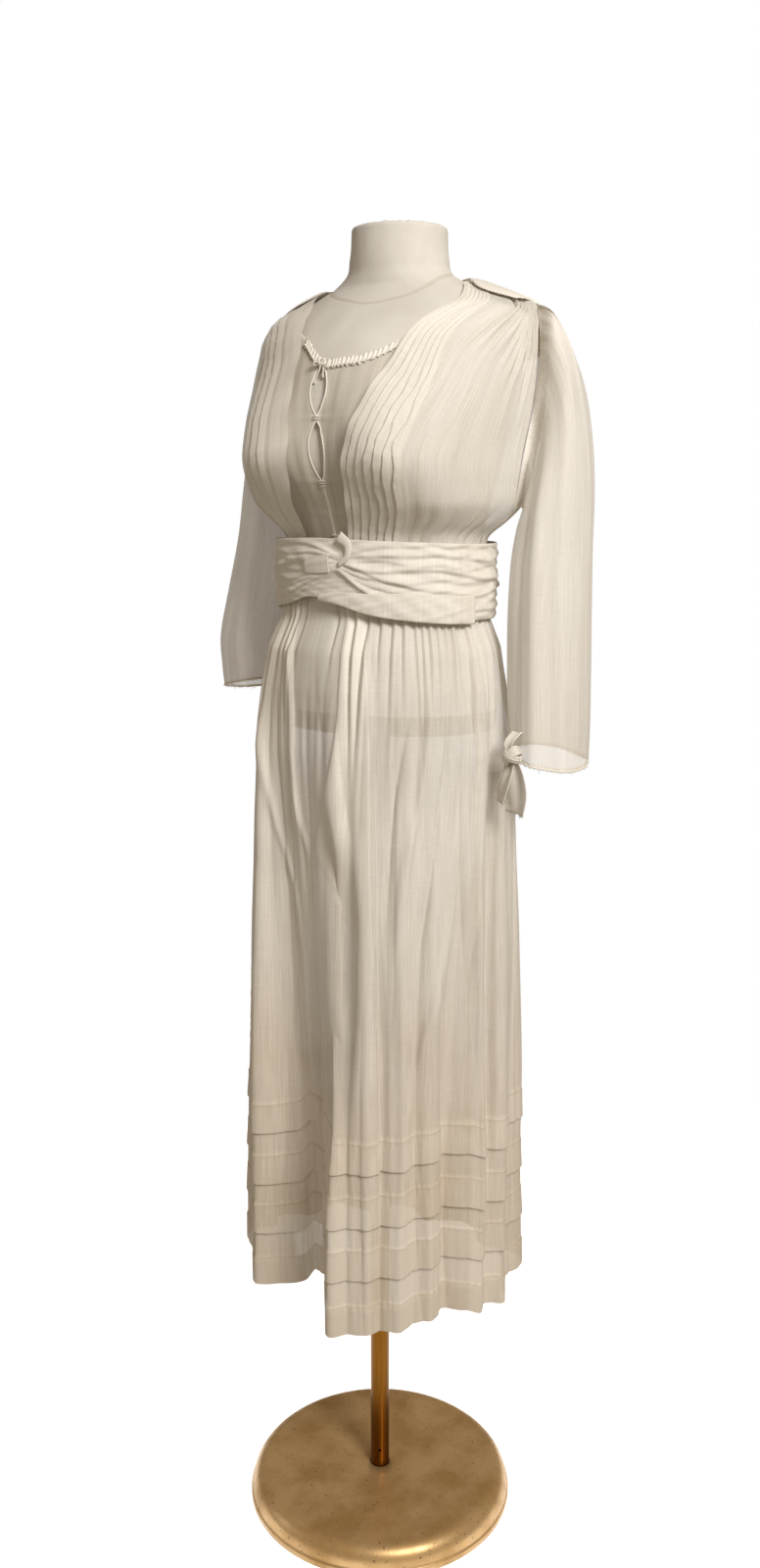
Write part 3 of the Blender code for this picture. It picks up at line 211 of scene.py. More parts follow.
def wander(u: Array, v: Array, length_u: float, length_v: float, seed: int) -> Array:
    """Smooth repeatable unevenness between about -1 and 1.

    Formula: eight slanted sines, each with its own wavelengths near the two given ones
    and its own phase, over the root of their number.

    Args:
        u: place across the cloth, in metres.
        v: place down the cloth, in metres.
        length_u: mean wavelength across.
        length_v: mean wavelength down.
        seed: picks the wavelengths and phases.

    Returns:
        The unevenness at each place.
    """
    draw = np.random.default_rng(seed)
    total = np.zeros(np.broadcast(u, v).shape)
    for _ in range(8):
        wave_u, wave_v = draw.uniform(0.55, 1.9, 2)
        phase, sign = draw.uniform(0, 2 * np.pi), draw.choice((-1.0, 1.0))
        total = total + np.sin(2 * np.pi * (u / (length_u * wave_u) + sign * v / (length_v * wave_v)) + phase)
    return total / math.sqrt(8)


def rumpled(u: Array, v: Array, length_u: float, length_v: float, seed: int) -> Array:
    """Long uneven folds between -1 and 1, rounded on top and creased in their hollows.

    Formula: twice the 0.7th power of the unevenness's size, less 1.
    """
    return 2 * np.minimum(np.abs(wander(u, v, length_u, length_v, seed)), 1) ** 0.7 - 1


def waver(place: Array, length: float, seed: int) -> Array:
    """Smooth repeatable unevenness along one line, between about -1 and 1."""
    return wander(place, place * 0, length, 1.0, seed)


def egg(half_width: Array, side_y: Array, front_y: Array, back_y: Array, turn: Array) -> tuple[Array, Array]:
    """X and Y of an egg-shaped level cut at a turn from the middle front.

    Formula: x is the half width times the sine of the turn. y leaves side_y by the
    turn's cosine times the depth in front or the depth behind.
    """
    forward = np.cos(turn)
    depth = np.where(forward > 0, side_y - front_y, back_y - side_y)
    return half_width * np.sin(turn), side_y - depth * forward


def body_surface(sections: Sequence[Section], swells: Sequence[Swell]) -> Surface:
    """The smooth round surface through level cuts, with soft rises on its front.

    Formula: each of the egg's four sizes is a smooth curve of height, and each swell
    takes a bell curve in turn and height off y.

    Args:
        sections: the level cuts, from below.
        swells: the rises.

    Returns:
        A function from turn in radians and height to points.
    """
    table = np.array(sections)

    def surface(turn: Array, height: Array) -> Array:
        """Points of the surface at turns and heights."""
        turn, height = np.broadcast_arrays(np.asarray(turn, float), np.asarray(height, float))
        x, y = egg(*[through(table[:, 0], table[:, k], height) for k in range(1, 5)], turn)
        degrees = np.degrees(np.abs(np.mod(turn + np.pi, 2 * np.pi) - np.pi))
        for swell in swells:
            aside = (degrees - swell.turn) / swell.turn_spread
            above = height - swell.height
            up = above / np.where(above > 0, swell.spread_above, swell.spread_below)
            y = y - swell.out * np.exp(-0.5 * aside**2 - 0.5 * up**2)
        return np.stack([x, y, height], -1)

    return surface


def normals(surface: Surface, turn: Array, height: Array) -> Array:
    """Outward unit normals of a surface, from its slopes both ways."""
    across = surface(turn + TURN_STEP, height) - surface(turn - TURN_STEP, height)
    up = surface(turn, height + NORMAL_STEP) - surface(turn, height - NORMAL_STEP)
    out = np.cross(across, up)
    return out / np.linalg.norm(out, axis=-1, keepdims=True)


def moved_out(surface: Surface, turn: Array, height: Array, distance: Array) -> Array:
    """Points of a surface moved out along its normals by a distance."""
    away = np.asarray(distance, float)[..., None]
    return surface(turn, height) + normals(surface, turn, height) * away


def along_edge(bends: Sequence[Bend], shares: Array) -> tuple[Array, Array]:
    """Turn in radians and height at shares of the way along an edge."""
    turns = np.radians([bend.turn for bend in bends])
    heights = np.array([bend.height for bend in bends])
    steps = np.hypot(np.diff(turns) * MEAN_RADIUS, np.diff(heights))
    places = np.concatenate([[0], np.cumsum(steps)]) / steps.sum()
    return through(places, turns, shares), through(places, heights, shares)


def round_value(bends: Sequence[Bend], turn: Array) -> Array:
    """Height of a level edge drawn all round, at a turn in radians."""
    wrapped = np.degrees(np.mod(turn + np.pi, 2 * np.pi) - np.pi)
    return through([bend.turn for bend in bends], [bend.height for bend in bends], wrapped)


def straight(start: Bend, end: Bend) -> Callable[[Array], tuple[Array, Array]]:
    """An edge that runs evenly between two bends, as a function of the share along it."""

    def edge(shares: Array) -> tuple[Array, Array]:
        """Turn and height at shares of the way."""
        turn = np.radians(start.turn + (end.turn - start.turn) * shares)
        return turn, start.height + (end.height - start.height) * shares

    return edge


def coons(top: Callable, bottom: Callable, first: Callable, last: Callable, across: Array, down: Array) -> list[Array]:
    """Turn and height inside four edges, blended from all of them.

    Formula: the blend of top and bottom, plus the blend of the two sides, less the
    blend of the four corners.

    Args:
        top: upper edge, as turn and height at shares across.
        bottom: lower edge, in the same way.
        first: side edge at share 0, as turn and height at shares down.
        last: side edge at share 1.
        across: shares across, a line of them.
        down: shares down, a line of them.

    Returns:
        The grids of turn and of height.
    """
    u, v = np.meshgrid(across, down)
    blend = []
    for k in (0, 1):
        t, b = top(across)[k], bottom(across)[k]
        f, e = first(down)[k], last(down)[k]
        sides = (1 - v) * t[None, :] + v * b[None, :] + (1 - u) * f[:, None] + u * e[:, None]
        corners = (1 - u) * (1 - v) * t[0] + u * (1 - v) * t[-1] + (1 - u) * v * b[0] + u * v * b[-1]
        blend.append(sides - corners)
    return blend


def creased(creases: Sequence[Crease], place: Array, level: Array, scale: Array | float) -> tuple[Array, Array]:
    """How far a set of creases lifts a surface, and how much it doubles the cloth.

    Formula: for each crease, its reach times a bell curve (soft) or a two-sided
    exponential (pleat) of the distance from its line, swelling in at its top and fading
    out at its foot. Its lean widens one of its sides and narrows the other.

    Args:
        creases: the creases, with paths in the units of place and level.
        place: place across, in degrees or shares.
        level: height, or another measure that falls from a path's first point on.
        scale: metres in one unit of place, everywhere or at each place.

    Returns:
        The lift in metres, and the doubling from 0 to 1.
    """
    lift = np.zeros(place.shape)
    cover = np.zeros(place.shape)
    for crease in creases:
        places, levels = np.array(crease.path, float).T
        centre = through(levels[::-1], places[::-1], level)
        aside = (place - centre) * scale / crease.width
        away = np.abs(aside) / (1 + crease.lean * np.sign(aside))
        shape = np.exp(-away * away) if crease.profile is Profile.SOFT else np.exp(-away)
        share = (levels[0] - level) / (levels[0] - levels[-1])
        shows = fade(share, 1 - crease.fade_out, 1)
        if crease.swell_in > 0:
            shows = shows * rise(share, 0, crease.swell_in)
        lift += crease.out * shape * shows
        cover = np.maximum(cover, crease.cover * np.exp(-away * away) * shows)
    return lift, cover


def overlaid(laps: Sequence[Lap], place: Array, level: Array, scale: float) -> tuple[Array, Array]:
    """How far folded pleats lift a surface, and how much they double the cloth.

    Formula: a pleat is flat between its edges, and each edge is a smooth step 2 mm wide.
    """
    lift = np.zeros(place.shape)
    cover = np.zeros(place.shape)
    step = 0.002 / scale
    for lap in laps:
        (left, high), (right, low) = np.array(lap.left, float).T, np.array(lap.right, float).T
        inside = rise(place - through(high[::-1], left[::-1], level), 0, step)
        inside = inside * fade(place - through(low[::-1], right[::-1], level), -step, 0)
        lift = np.maximum(lift, lap.out * inside)
        cover = np.maximum(cover, lap.cover * inside)
    return lift, cover


# ---- meshes


@dataclass
class Patch:
    """A grid of points with its cloth coordinates and what the cloth is there.

    Rows run down and columns run towards the wearer's left, so faces point outwards.
    The cloth coordinates have one more column where the grid closes around.
    """

    points: Array
    across: Array
    down: Array
    layers: Array | float = 0.0
    stitch: Array | float = 0.0
    around: bool = False
    capped: bool = False

    def flipped(self, side: Side) -> "Patch":
        """The patch as drawn on the left, or mirrored to the right with its faces turned back."""
        if side is Side.LEFT:
            return self
        shape = self.points.shape[:2]
        values = [np.broadcast_to(np.asarray(v, float), shape)[:, ::-1] for v in (self.layers, self.stitch)]
        mirrored = self.points[:, ::-1] * (-1, 1, 1)
        return Patch(
            mirrored, self.across[:, ::-1], self.down[:, ::-1], values[0], values[1], self.around, self.capped
        )


def grid_quads(rows: int, columns: int, around: bool) -> Array:
    """Corner numbers of a grid's faces, closed around or not."""
    ids = np.arange(rows * columns).reshape(rows, columns)
    if around:
        ids = np.concatenate([ids, ids[:, :1]], axis=1)
    quads = np.stack([ids[:-1, :-1], ids[1:, :-1], ids[1:, 1:], ids[:-1, 1:]], -1)
    return quads.reshape(-1, 4)


def mesh_of(name: str, patches: Sequence[Patch]) -> bpy.types.Mesh:
    """One mesh of several patches, with its UV map and its two cloth attributes.

    Args:
        name: the mesh's name.
        patches: the patches, which share no points.

    Returns:
        The mesh, smoothly shaded.
    """
    points, faces, cloth, layers, stitch = [], [], [], [], []
    base = 0
    for patch in patches:
        rows, columns = patch.points.shape[:2]
        quads = grid_quads(rows, columns, patch.around)
        corners = grid_quads(rows, columns + int(patch.around), False)
        places = np.stack([patch.across, patch.down], -1).reshape(-1, 2)
        faces.extend((quads + base).tolist())
        cloth.append(places[corners].reshape(-1, 2))
        if patch.capped:
            first = base + np.arange(columns)
            last = base + (rows - 1) * columns + np.arange(columns)[::-1]
            faces.extend([first.tolist(), last.tolist()])
            cloth.append(np.broadcast_to(places[0], (2 * columns, 2)))
        points.append(patch.points.reshape(-1, 3))
        for values, source in ((layers, patch.layers), (stitch, patch.stitch)):
            values.append(np.broadcast_to(np.asarray(source, float), (rows, columns)).ravel())
        base += rows * columns
    mesh = bpy.data.meshes.new(name)
    mesh.from_pydata(np.concatenate(points), [], faces)
    uv = mesh.uv_layers.new(name=UV_NAME)
    uv.data.foreach_set("uv", np.concatenate(cloth).astype(np.float32).ravel())
    for label, values in (("layers", layers), ("stitch", stitch)):
        attribute = mesh.attributes.new(label, "FLOAT", "POINT")
        attribute.data.foreach_set("value", np.clip(np.concatenate(values), 0, 1).astype(np.float32))
    mesh.shade_smooth()
    return mesh


def add_piece(name: str, patches: Sequence[Patch], finish: "Finish", wall: float = 0.0) -> bpy.types.Object:
    """Put a piece in the scene, with its wall, its finish and its body.

    Args:
        name: the piece's name.
        patches: its surfaces.
        finish: what it is made of.
        wall: the whole thickness given to a surface, half on each side, or 0 for none.

    Returns:
        The piece.
    """
    piece = bpy.data.objects.new(name, mesh_of(name, patches))
    bpy.context.scene.collection.objects.link(piece)
    piece.data.materials.append(finish.material())
    if wall > 0:
        thick = piece.modifiers.new("wall", "SOLIDIFY")
        thick.thickness = wall
        thick.offset = 0
    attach(piece, "root")
    log.info("%s: %d points", name, len(piece.data.vertices))
    return piece


def lathe(radius: Array, height: Array, sides: int) -> Array:
    """A grid of points: a profile of radii and heights turned about Z."""
    angle = np.arange(sides) / sides * 2 * np.pi
    level = np.broadcast_to(height[:, None], (len(height), sides))
    return np.stack([radius[:, None] * np.sin(angle), -radius[:, None] * np.cos(angle), level], -1)


def tube(path: Array, outward: Array, radius: Array | float, sides: int = 8, closed: bool = False) -> Patch:
    """A round cord carried along a path.

    Formula: each ring lies square to the run of the path, on the axes that its outward
    direction gives, at the radius of that point.

    Args:
        path: points of the middle line.
        outward: a direction at each point that isn't along the path.
        radius: one radius, or one for each point.
        sides: sides of a ring.
        closed: whether the path closes on itself.

    Returns:
        The cord's patch, its rings as rows, capped where it is open.
    """
    if closed:
        path = np.concatenate([path, path[:1]])
        outward = np.concatenate([outward, outward[:1]])
        ahead = np.roll(path[:-1], -1, axis=0) - np.roll(path[:-1], 1, axis=0)
        ahead = np.concatenate([ahead, ahead[:1]])
    else:
        ahead = np.gradient(path, axis=0)
    ahead = ahead / np.linalg.norm(ahead, axis=1, keepdims=True)
    aside = np.cross(ahead, outward)
    aside = aside / np.linalg.norm(aside, axis=1, keepdims=True)
    out = np.cross(aside, ahead)
    angle = np.arange(sides) / sides * 2 * np.pi
    size = np.broadcast_to(np.asarray(radius, float), (len(path),))[:, None, None]
    ring = np.cos(angle)[None, :, None] * aside[:, None] + np.sin(angle)[None, :, None] * out[:, None]
    points = path[:, None] + ring * size
    steps = np.linalg.norm(np.diff(path, axis=0), axis=1)
    length = np.concatenate([[0], np.cumsum(steps)])
    around = np.linspace(0, 1, sides + 1) * 2 * np.pi * float(np.mean(size))
    down = np.broadcast_to(length[:, None], (len(path), sides + 1))
    across = np.broadcast_to(around[None, :], down.shape)
    return Patch(points, across, down, 1.0, 0.0, True, not closed)


def strip(path: Array, aside: Array, widths: Array, cup: float, columns: int = 9) -> Patch:
    """A flat band of cloth along a path, a little hollow across.

    Formula: a point at share s across, from -1 to 1, lies half the width times s aside,
    and the cup times (1 - s squared) out of the band's plane.

    Args:
        path: points of the middle line.
        aside: unit directions across the band.
        widths: full width at each point.
        cup: how far the middle stands out.
        columns: points across.

    Returns:
        The band's patch.
    """
    ahead = np.gradient(path, axis=0)
    ahead = ahead / np.linalg.norm(ahead, axis=1, keepdims=True)
    out = np.cross(aside, ahead)
    share = np.linspace(-1, 1, columns)
    reach = aside[:, None] * (widths[:, None] / 2 * share[None, :])[..., None]
    hollow = out[:, None] * (cup * (1 - share**2))[None, :, None]
    steps = np.linalg.norm(np.diff(path, axis=0), axis=1)
    down = np.concatenate([[0], np.cumsum(steps)])[:, None] * np.ones(columns)
    across = widths[:, None] / 2 * share[None, :]
    return Patch(path[:, None] + reach + hollow, across, down, 0.8)


def frayed(path: Array, way: Array, count: int, length: float, seed: int) -> list[Patch]:
    """Loose thread ends along a raw edge, each a thin tapering three-sided strand.

    Formula: a strand starts at a random place on the path and runs its length along
    the given way, bent aside by the square of the share along it.

    Args:
        path: points of the edge.
        way: direction at each point that the threads hang in.
        count: number of threads.
        length: longest thread, in metres.
        seed: picks places, lengths and bends.

    Returns:
        The strands' patches.
    """
    draw = np.random.default_rng(seed)
    at = draw.uniform(0, len(path) - 1.001, count)
    starts = resample(path, at, False)
    ways = resample(way, at, False)
    share = np.linspace(0, 1, 4)
    patches = []
    for start, run in zip(starts, ways):
        side = draw.normal(0, 0.55, 3)
        reach = length * draw.uniform(0.3, 1.0)
        line = start + run * reach * share[:, None] + side * reach * (share**2)[:, None]
        radius = 0.00022 * (1 - 0.6 * share)
        outward = np.broadcast_to(np.cross(run, side + 0.01), line.shape)
        patches.append(tube(line, outward, radius, 3))
    return patches


# ---- finishes


def linear(colour: str) -> tuple[float, float, float, float]:
    """An sRGB hex colour as linear red, green and blue with full cover."""
    parts = [int(colour[i : i + 2], 16) / 255 for i in (1, 3, 5)]
    values = [p / 12.92 if p <= 0.04045 else ((p + 0.055) / 1.055) ** 2.4 for p in parts]
    return values[0], values[1], values[2], 1.0


def feed(tree: bpy.types.NodeTree, node: bpy.types.Node, sockets: dict) -> None:
    """Give a node's inputs, by name or number, a value or the output that feeds them."""
    for key, value in sockets.items():
        if isinstance(value, bpy.types.NodeSocket):
            tree.links.new(value, node.inputs[key])
        else:
            node.inputs[key].default_value = value


def add_node(
    tree: bpy.types.NodeTree, kind: str, sockets: dict | Sequence = (), output: int | str = 0, **settings: object
) -> bpy.types.NodeSocket:
    """Add a node with its settings, its socket values and its links.

    Args:
        tree: the node tree.
        kind: the node's type, less the "ShaderNode" that starts it.
        sockets: what feeds its inputs, by name or number, or in their order.
        output: name or number of the output that is wanted.
        settings: the node's own properties.

    Returns:
        The wanted output.
    """
    node = tree.nodes.new("ShaderNode" + kind)
    for key, value in settings.items():
        setattr(node, key, value)
    feed(tree, node, sockets if isinstance(sockets, dict) else dict(enumerate(sockets)))
    return node.outputs[output]


class Finish:
    """What a piece is made of: a material made once, and shared by its pieces."""

    name: str

    def material(self) -> bpy.types.Material:
        """The finish's material, made at its first use."""
        found = bpy.data.materials.get(self.name)
        if found is None:
            found = bpy.data.materials.new(self.name)
            found.use_nodes = True
            self.dress(found.node_tree, found.node_tree.nodes["Principled BSDF"])
        return found

    def dress(self, tree: bpy.types.NodeTree, shader: bpy.types.Node) -> None:
        """Give the shader its colours, gloss and relief."""
        raise NotImplementedError


@dataclass(frozen=True)
class Voile(Finish):
    """Cotton voile: plain-woven of fine, hard-twisted, slightly slubby yarns.

    A single layer lets a good deal of light and whatever lies behind it through. A
    tuck, hem or seam doubles it, and looks paler and closer. Age has toned it unevenly,
    and more of the toned colour is drawn lower down a piece. Sewn lines are drawn darker:
    the thread, and painted shade along tucks and seams.
    """

    name: str = "cotton voile, plain woven"
    single: str = "#F0EBE1"
    doubled: str = "#EFE9DF"
    toned: str = "#CDB899"
    thread: str = "#B5A488"  # a sewn line: the thread, and painted shade along tucks and seams
    toned_lower_down: float = 0.55  # how much more of the toned colour it takes 0.9 m down a piece, growing from 0.3 m down: darker and warmer towards the bottom
    single_cover: float = 0.68
    doubled_cover: float = 0.96
    light_share: float = 0.88  # of its cover, what it keeps from the light that goes through
    slub_length: float = 0.060
    slub_width: float = 0.0011  # yarns are 0.15 mm, drawn seven times coarser to show
    weft_length: float = 0.020
    weft_width: float = 0.0009
    warp_share: float = 0.72  # of the weave's relief, with the rest from the weft
    tone_size: float = 0.110
    stitch_pitch: float = 0.0030  # real stitches are 1.5 mm, drawn twice as long to show

    def dress(self, tree: bpy.types.NodeTree, shader: bpy.types.Node) -> None:
        """Weave, slubs, toning and stitching, all on the cloth's own metres."""
        uv = add_node(tree, "UVMap", uv_map=UV_NAME)
        layers = add_node(tree, "Attribute", output="Fac", attribute_name="layers")
        stitch = add_node(tree, "Attribute", output="Fac", attribute_name="stitch")
        # Noise drawn out to a thread's size across and down, for warp, weft and tone
        noises = []
        for across, down, detail in (
            (self.slub_width, self.slub_length, 3.0),
            (self.weft_length, self.weft_width, 2.0),
            (self.tone_size, self.tone_size * 2.2, 3.0),
        ):
            scaled = add_node(tree, "Mapping", {"Vector": uv, "Scale": (1 / across, 1 / down, 1)})
            noises.append(add_node(tree, "TexNoise", {"Vector": scaled, "Scale": 1.0, "Detail": detail}, "Fac"))
        warp, weft, tone = noises
        filling = add_node(tree, "Math", (weft, 1 - self.warp_share), operation="MULTIPLY")
        weave = add_node(tree, "Math", (warp, self.warp_share, filling), operation="MULTIPLY_ADD")

        u, v = add_node(tree, "SeparateXYZ", (uv,)).node.outputs[:2]
        low = add_node(tree, "MapRange", (v, 0.30, 0.90, 0.0, self.toned_lower_down))
        patchy = add_node(tree, "MapRange", (tone, 0.45, 0.72, 0.0, 0.22))
        toning = add_node(tree, "Math", (low, patchy), operation="ADD")
        slub = add_node(tree, "MapRange", (weave, 0.3, 0.7, 0.88, 1.05))
        # Sewn lines are drawn darker: the thread's own colour, and painted shade along tucks and seams
        thread_and_shade = add_node(tree, "Math", (stitch, 0.45), operation="MULTIPLY")
        colour = linear(self.single)
        for factor, other, blend in (
            (layers, linear(self.doubled), "MIX"),
            (toning, linear(self.toned), "MIX"),
            (1.0, slub, "MULTIPLY"),
            (thread_and_shade, linear(self.thread), "MIX"),
        ):
            colour = add_node(tree, "Mix", {0: factor, 6: colour, 7: other}, 2, data_type="RGBA", blend_type=blend)

        cover = add_node(tree, "MapRange", (layers, 0.0, 1.0, self.single_cover, self.doubled_cover))
        loose = add_node(tree, "MapRange", (weave, 0.3, 0.7, -0.06, 0.06))
        closed = add_node(tree, "Math", (cover, loose), operation="ADD", use_clamp=True)
        # Fine yarns scatter light onwards, so that more of it gets through than is seen through
        seen = add_node(tree, "LightPath", output="Is Camera Ray")
        kept = add_node(tree, "MapRange", (seen, 0.0, 1.0, self.light_share, 1.0))
        alpha = add_node(tree, "Math", (closed, kept), operation="MULTIPLY")

        run = add_node(tree, "Math", (u, v), operation="ADD")
        phase = add_node(tree, "Math", (run, 2 * math.pi / self.stitch_pitch), operation="MULTIPLY")
        dashes = add_node(tree, "Math", (phase,), operation="SINE")
        sewn = add_node(tree, "Math", (dashes, stitch), operation="MULTIPLY")
        relief = add_node(tree, "Math", (sewn, 0.6, weave), operation="MULTIPLY_ADD")
        bump = add_node(tree, "Bump", {"Strength": 0.35, "Distance": 0.0005, "Height": relief})
        looks = {"Base Color": colour, "Alpha": alpha, "Normal": bump, "Roughness": 0.85}
        feed(tree, shader, looks | {"Specular IOR Level": 0.2, "Sheen Weight": 0.12, "Sheen Roughness": 0.5})


@dataclass(frozen=True)
class Jersey(Finish):
    """Cotton jersey stretched over padding: fine upright wales, soft and matt.

    The band below the hip is bound in a tan cotton, and a stitched seam rings the neck.
    """

    name: str = "cotton jersey over padding"
    face: str = "#DEDAD2"
    shade: str = "#CEC8BD"
    binding: str = "#8C6C40"
    neck_seam: str = "#A89C88"
    wale: float = 0.0016  # 1.6 mm rows of loops, as they show at this distance

    def dress(self, tree: bpy.types.NodeTree, shader: bpy.types.Node) -> None:
        """Wales and a soft unevenness, with the binding where the layers attribute says."""
        uv = add_node(tree, "UVMap", uv_map=UV_NAME)
        bound = add_node(tree, "Attribute", output="Fac", attribute_name="layers")
        seam = add_node(tree, "Attribute", output="Fac", attribute_name="stitch")
        soft = add_node(tree, "TexNoise", {"Vector": uv, "Scale": 26.0, "Detail": 4.0}, "Fac")
        scaled = add_node(tree, "Mapping", {"Vector": uv, "Scale": (1 / self.wale, 1 / (2.5 * self.wale), 1)})
        loops = add_node(tree, "TexNoise", {"Vector": scaled, "Scale": 1.0, "Detail": 2.0}, "Fac")
        colour = linear(self.face)
        for factor, other in ((soft, self.shade), (bound, self.binding), (seam, self.neck_seam)):
            colour = add_node(tree, "Mix", {0: factor, 6: colour, 7: linear(other)}, 2, data_type="RGBA")
        bump = add_node(tree, "Bump", {"Strength": 0.3, "Distance": 0.0005, "Height": loops})
        feed(tree, shader, {"Base Color": colour, "Normal": bump, "Roughness": 0.95, "Specular IOR Level": 0.15})


@dataclass(frozen=True)
class GiltPaint(Finish):
    """Bronze-powder gilt paint on a cast iron base, brushed, rubbed and chipped by use."""

    name: str = "gilt paint on cast iron"
    gilt: str = "#D3AF7C"
    rubbed: str = "#B9935D"
    chip: str = "#5D4A35"
    metallic: float = 0.55

    def dress(self, tree: bpy.types.NodeTree, shader: bpy.types.Node) -> None:
        """Cloudy gilt with darker specks where the paint has gone."""
        place = add_node(tree, "TexCoord", output="Object")
        clouds = add_node(tree, "TexNoise", {"Vector": place, "Scale": 22.0, "Detail": 6.0}, "Fac")
        specks = add_node(tree, "TexNoise", {"Vector": place, "Scale": 260.0, "Detail": 3.0}, "Fac")
        worn = add_node(tree, "MapRange", (clouds, 0.38, 0.66, 0.0, 1.0))
        chipped = add_node(tree, "MapRange", (specks, 0.66, 0.70, 0.0, 0.9))
        colour = linear(self.gilt)
        for factor, other in ((worn, self.rubbed), (chipped, self.chip)):
            colour = add_node(tree, "Mix", {0: factor, 6: colour, 7: linear(other)}, 2, data_type="RGBA")
        rough = add_node(tree, "MapRange", (worn, 0.0, 1.0, 0.30, 0.48))
        bump = add_node(tree, "Bump", {"Strength": 0.25, "Distance": 0.0006, "Height": specks})
        feed(tree, shader, {"Base Color": colour, "Roughness": rough, "Normal": bump, "Metallic": self.metallic})


@dataclass(frozen=True)
class BrassTube(Finish):
    """Drawn brass tube, lacquered, with fine lengthways draw lines."""

    name: str = "brass tube, drawn and lacquered"
    brass: str = "#80561E"
    dark: str = "#5A380F"

    def dress(self, tree: bpy.types.NodeTree, shader: bpy.types.Node) -> None:
        """Draw lines about a millimetre wide, with finer ones among them, changing slowly along."""
        place = add_node(tree, "TexCoord", output="Object")
        drawn = add_node(tree, "Mapping", {"Vector": place, "Scale": (900.0, 900.0, 9.0)})
        lines = add_node(tree, "TexNoise", {"Vector": drawn, "Scale": 1.0, "Detail": 3.0}, "Fac")
        mix = {0: lines, 6: linear(self.brass), 7: linear(self.dark)}
        colour = add_node(tree, "Mix", mix, 2, data_type="RGBA")
        rough = add_node(tree, "MapRange", (lines, 0.3, 0.7, 0.2, 0.38))
        feed(tree, shader, {"Base Color": colour, "Roughness": rough, "Metallic": 1.0})


@dataclass(frozen=True)
class Backdrop(Finish):
    """Matt white photographer's paper."""

    name: str = "white paper, matt"
    colour: str = "#F4F3F1"
    fibre: str = "#F8F7F5"
    glow: float = 0.98

    def dress(self, tree: bpy.types.NodeTree, shader: bpy.types.Node) -> None:
        """A very slight fibre tone on white."""
        place = add_node(tree, "TexCoord", output="Object")
        fibre = add_node(tree, "TexNoise", {"Vector": place, "Scale": 8.0, "Detail": 2.0}, "Fac")
        mix = {0: fibre, 6: linear(self.colour), 7: linear(self.fibre)}
        colour = add_node(tree, "Mix", mix, 2, data_type="RGBA")
        looks = {"Base Color": colour, "Roughness": 0.95}
        feed(tree, shader, looks | {"Emission Color": WHITE, "Emission Strength": self.glow})


VOILE = Voile()
FINE_VOILE = Voile(
    name="fine cotton voile, plain woven",
    single="#DDD5C8",
    doubled="#F1ECE2",
    single_cover=0.72,
    doubled_cover=0.95,
    slub_width=0.0009,
)
JERSEY = Jersey()
GILT = GiltPaint()
BRASS = BrassTube()


# ---- the stand and the form


@dataclass
class Stand:
    """The turned base and the pole."""

    radius: float = 0.178
    height: float = 0.035
    edge: float = 0.024
    lip: float = 0.009
    lip_out: float = 0.002
    socket_radius: float = 0.0130
    socket_floor: float = 0.012
    rim_turn: float = math.radians(86)
    sides: int = 160

    def profile(self) -> Array:
        """Radius and height from the socket's floor over the rim to the middle of the underside."""
        swing = np.linspace(0, self.rim_turn, 18)
        rim = self.radius - self.edge
        arc_r = rim + (self.edge - self.lip_out) * np.sin(swing)
        arc_z = self.height - (self.height - self.lip - 0.0012) * (1 - np.cos(swing))
        inside = [(0.0004, self.socket_floor), (self.socket_radius, self.socket_floor)]
        inside += [(self.socket_radius, self.height - 0.0008), (self.socket_radius + 0.0008, self.height)]
        flat = [(r, self.height) for r in np.linspace(0.03, rim - 0.003, 5)]
        lip = [(self.radius - 0.0012, self.lip), (self.radius - 0.0003, self.lip - 0.0005)]
        lip += [(self.radius, self.lip - 0.0015), (self.radius, 0.0012), (self.radius - 0.001, 0.0), (0.0004, 0.0)]
        return np.array(inside + flat + list(zip(arc_r, arc_z)) + lip)

    def build(self) -> None:
        """Make the base, and give the CAD pole its brass.

        Formula of the base: the profile turned about Z.
        """
        profile = self.profile()
        radius, height = profile.T
        across = radius[:, None] * np.linspace(0, 2 * np.pi, self.sides + 1)[None, :]
        run = np.cumsum(np.hypot(*np.diff(profile, axis=0, prepend=0).T))
        down = np.broadcast_to(run[:, None], across.shape)
        patch = Patch(lathe(radius, height, self.sides), across, down, around=True, capped=True)
        base = add_piece("gilt_base", [patch], GILT)
        base.data.set_sharp_from_angle(angle=SHARP_ANGLE)
        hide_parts("stand_base")
        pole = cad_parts["stand_pole"]
        pole.data.materials.clear()
        pole.data.materials.append(BRASS.material())


FORM_SECTIONS = (
    Section(1.075, 0.1480, 0.002, -0.104, 0.110),
    Section(1.100, 0.1500, 0.003, -0.109, 0.114),
    Section(1.150, 0.1425, 0.006, -0.107, 0.113),
    Section(1.205, 0.1285, 0.010, -0.094, 0.104),
    Section(1.250, 0.1220, 0.012, -0.084, 0.098),
    Section(1.285, 0.1220, 0.014, -0.083, 0.098),
    Section(1.330, 0.1290, 0.020, -0.094, 0.106),
    Section(1.375, 0.1370, 0.030, -0.111, 0.118),
    Section(1.415, 0.1420, 0.040, -0.118, 0.126),
    Section(1.455, 0.1460, 0.050, -0.116, 0.132),
    Section(1.495, 0.1510, 0.057, -0.104, 0.134),
    Section(1.525, 0.1580, 0.060, -0.083, 0.130),
    Section(1.545, 0.1630, 0.061, -0.060, 0.120),
    Section(1.556, 0.1580, 0.061, -0.045, 0.112),
    Section(1.568, 0.1420, 0.060, -0.030, 0.105),
    Section(1.580, 0.1180, 0.056, -0.019, 0.102),
    Section(1.592, 0.0860, 0.050, -0.014, 0.101),
    Section(1.603, 0.0670, 0.046, -0.014, 0.101),
    Section(1.622, 0.0595, 0.044, -0.015, 0.102),
    Section(1.655, 0.0570, 0.044, -0.013, 0.101),
)
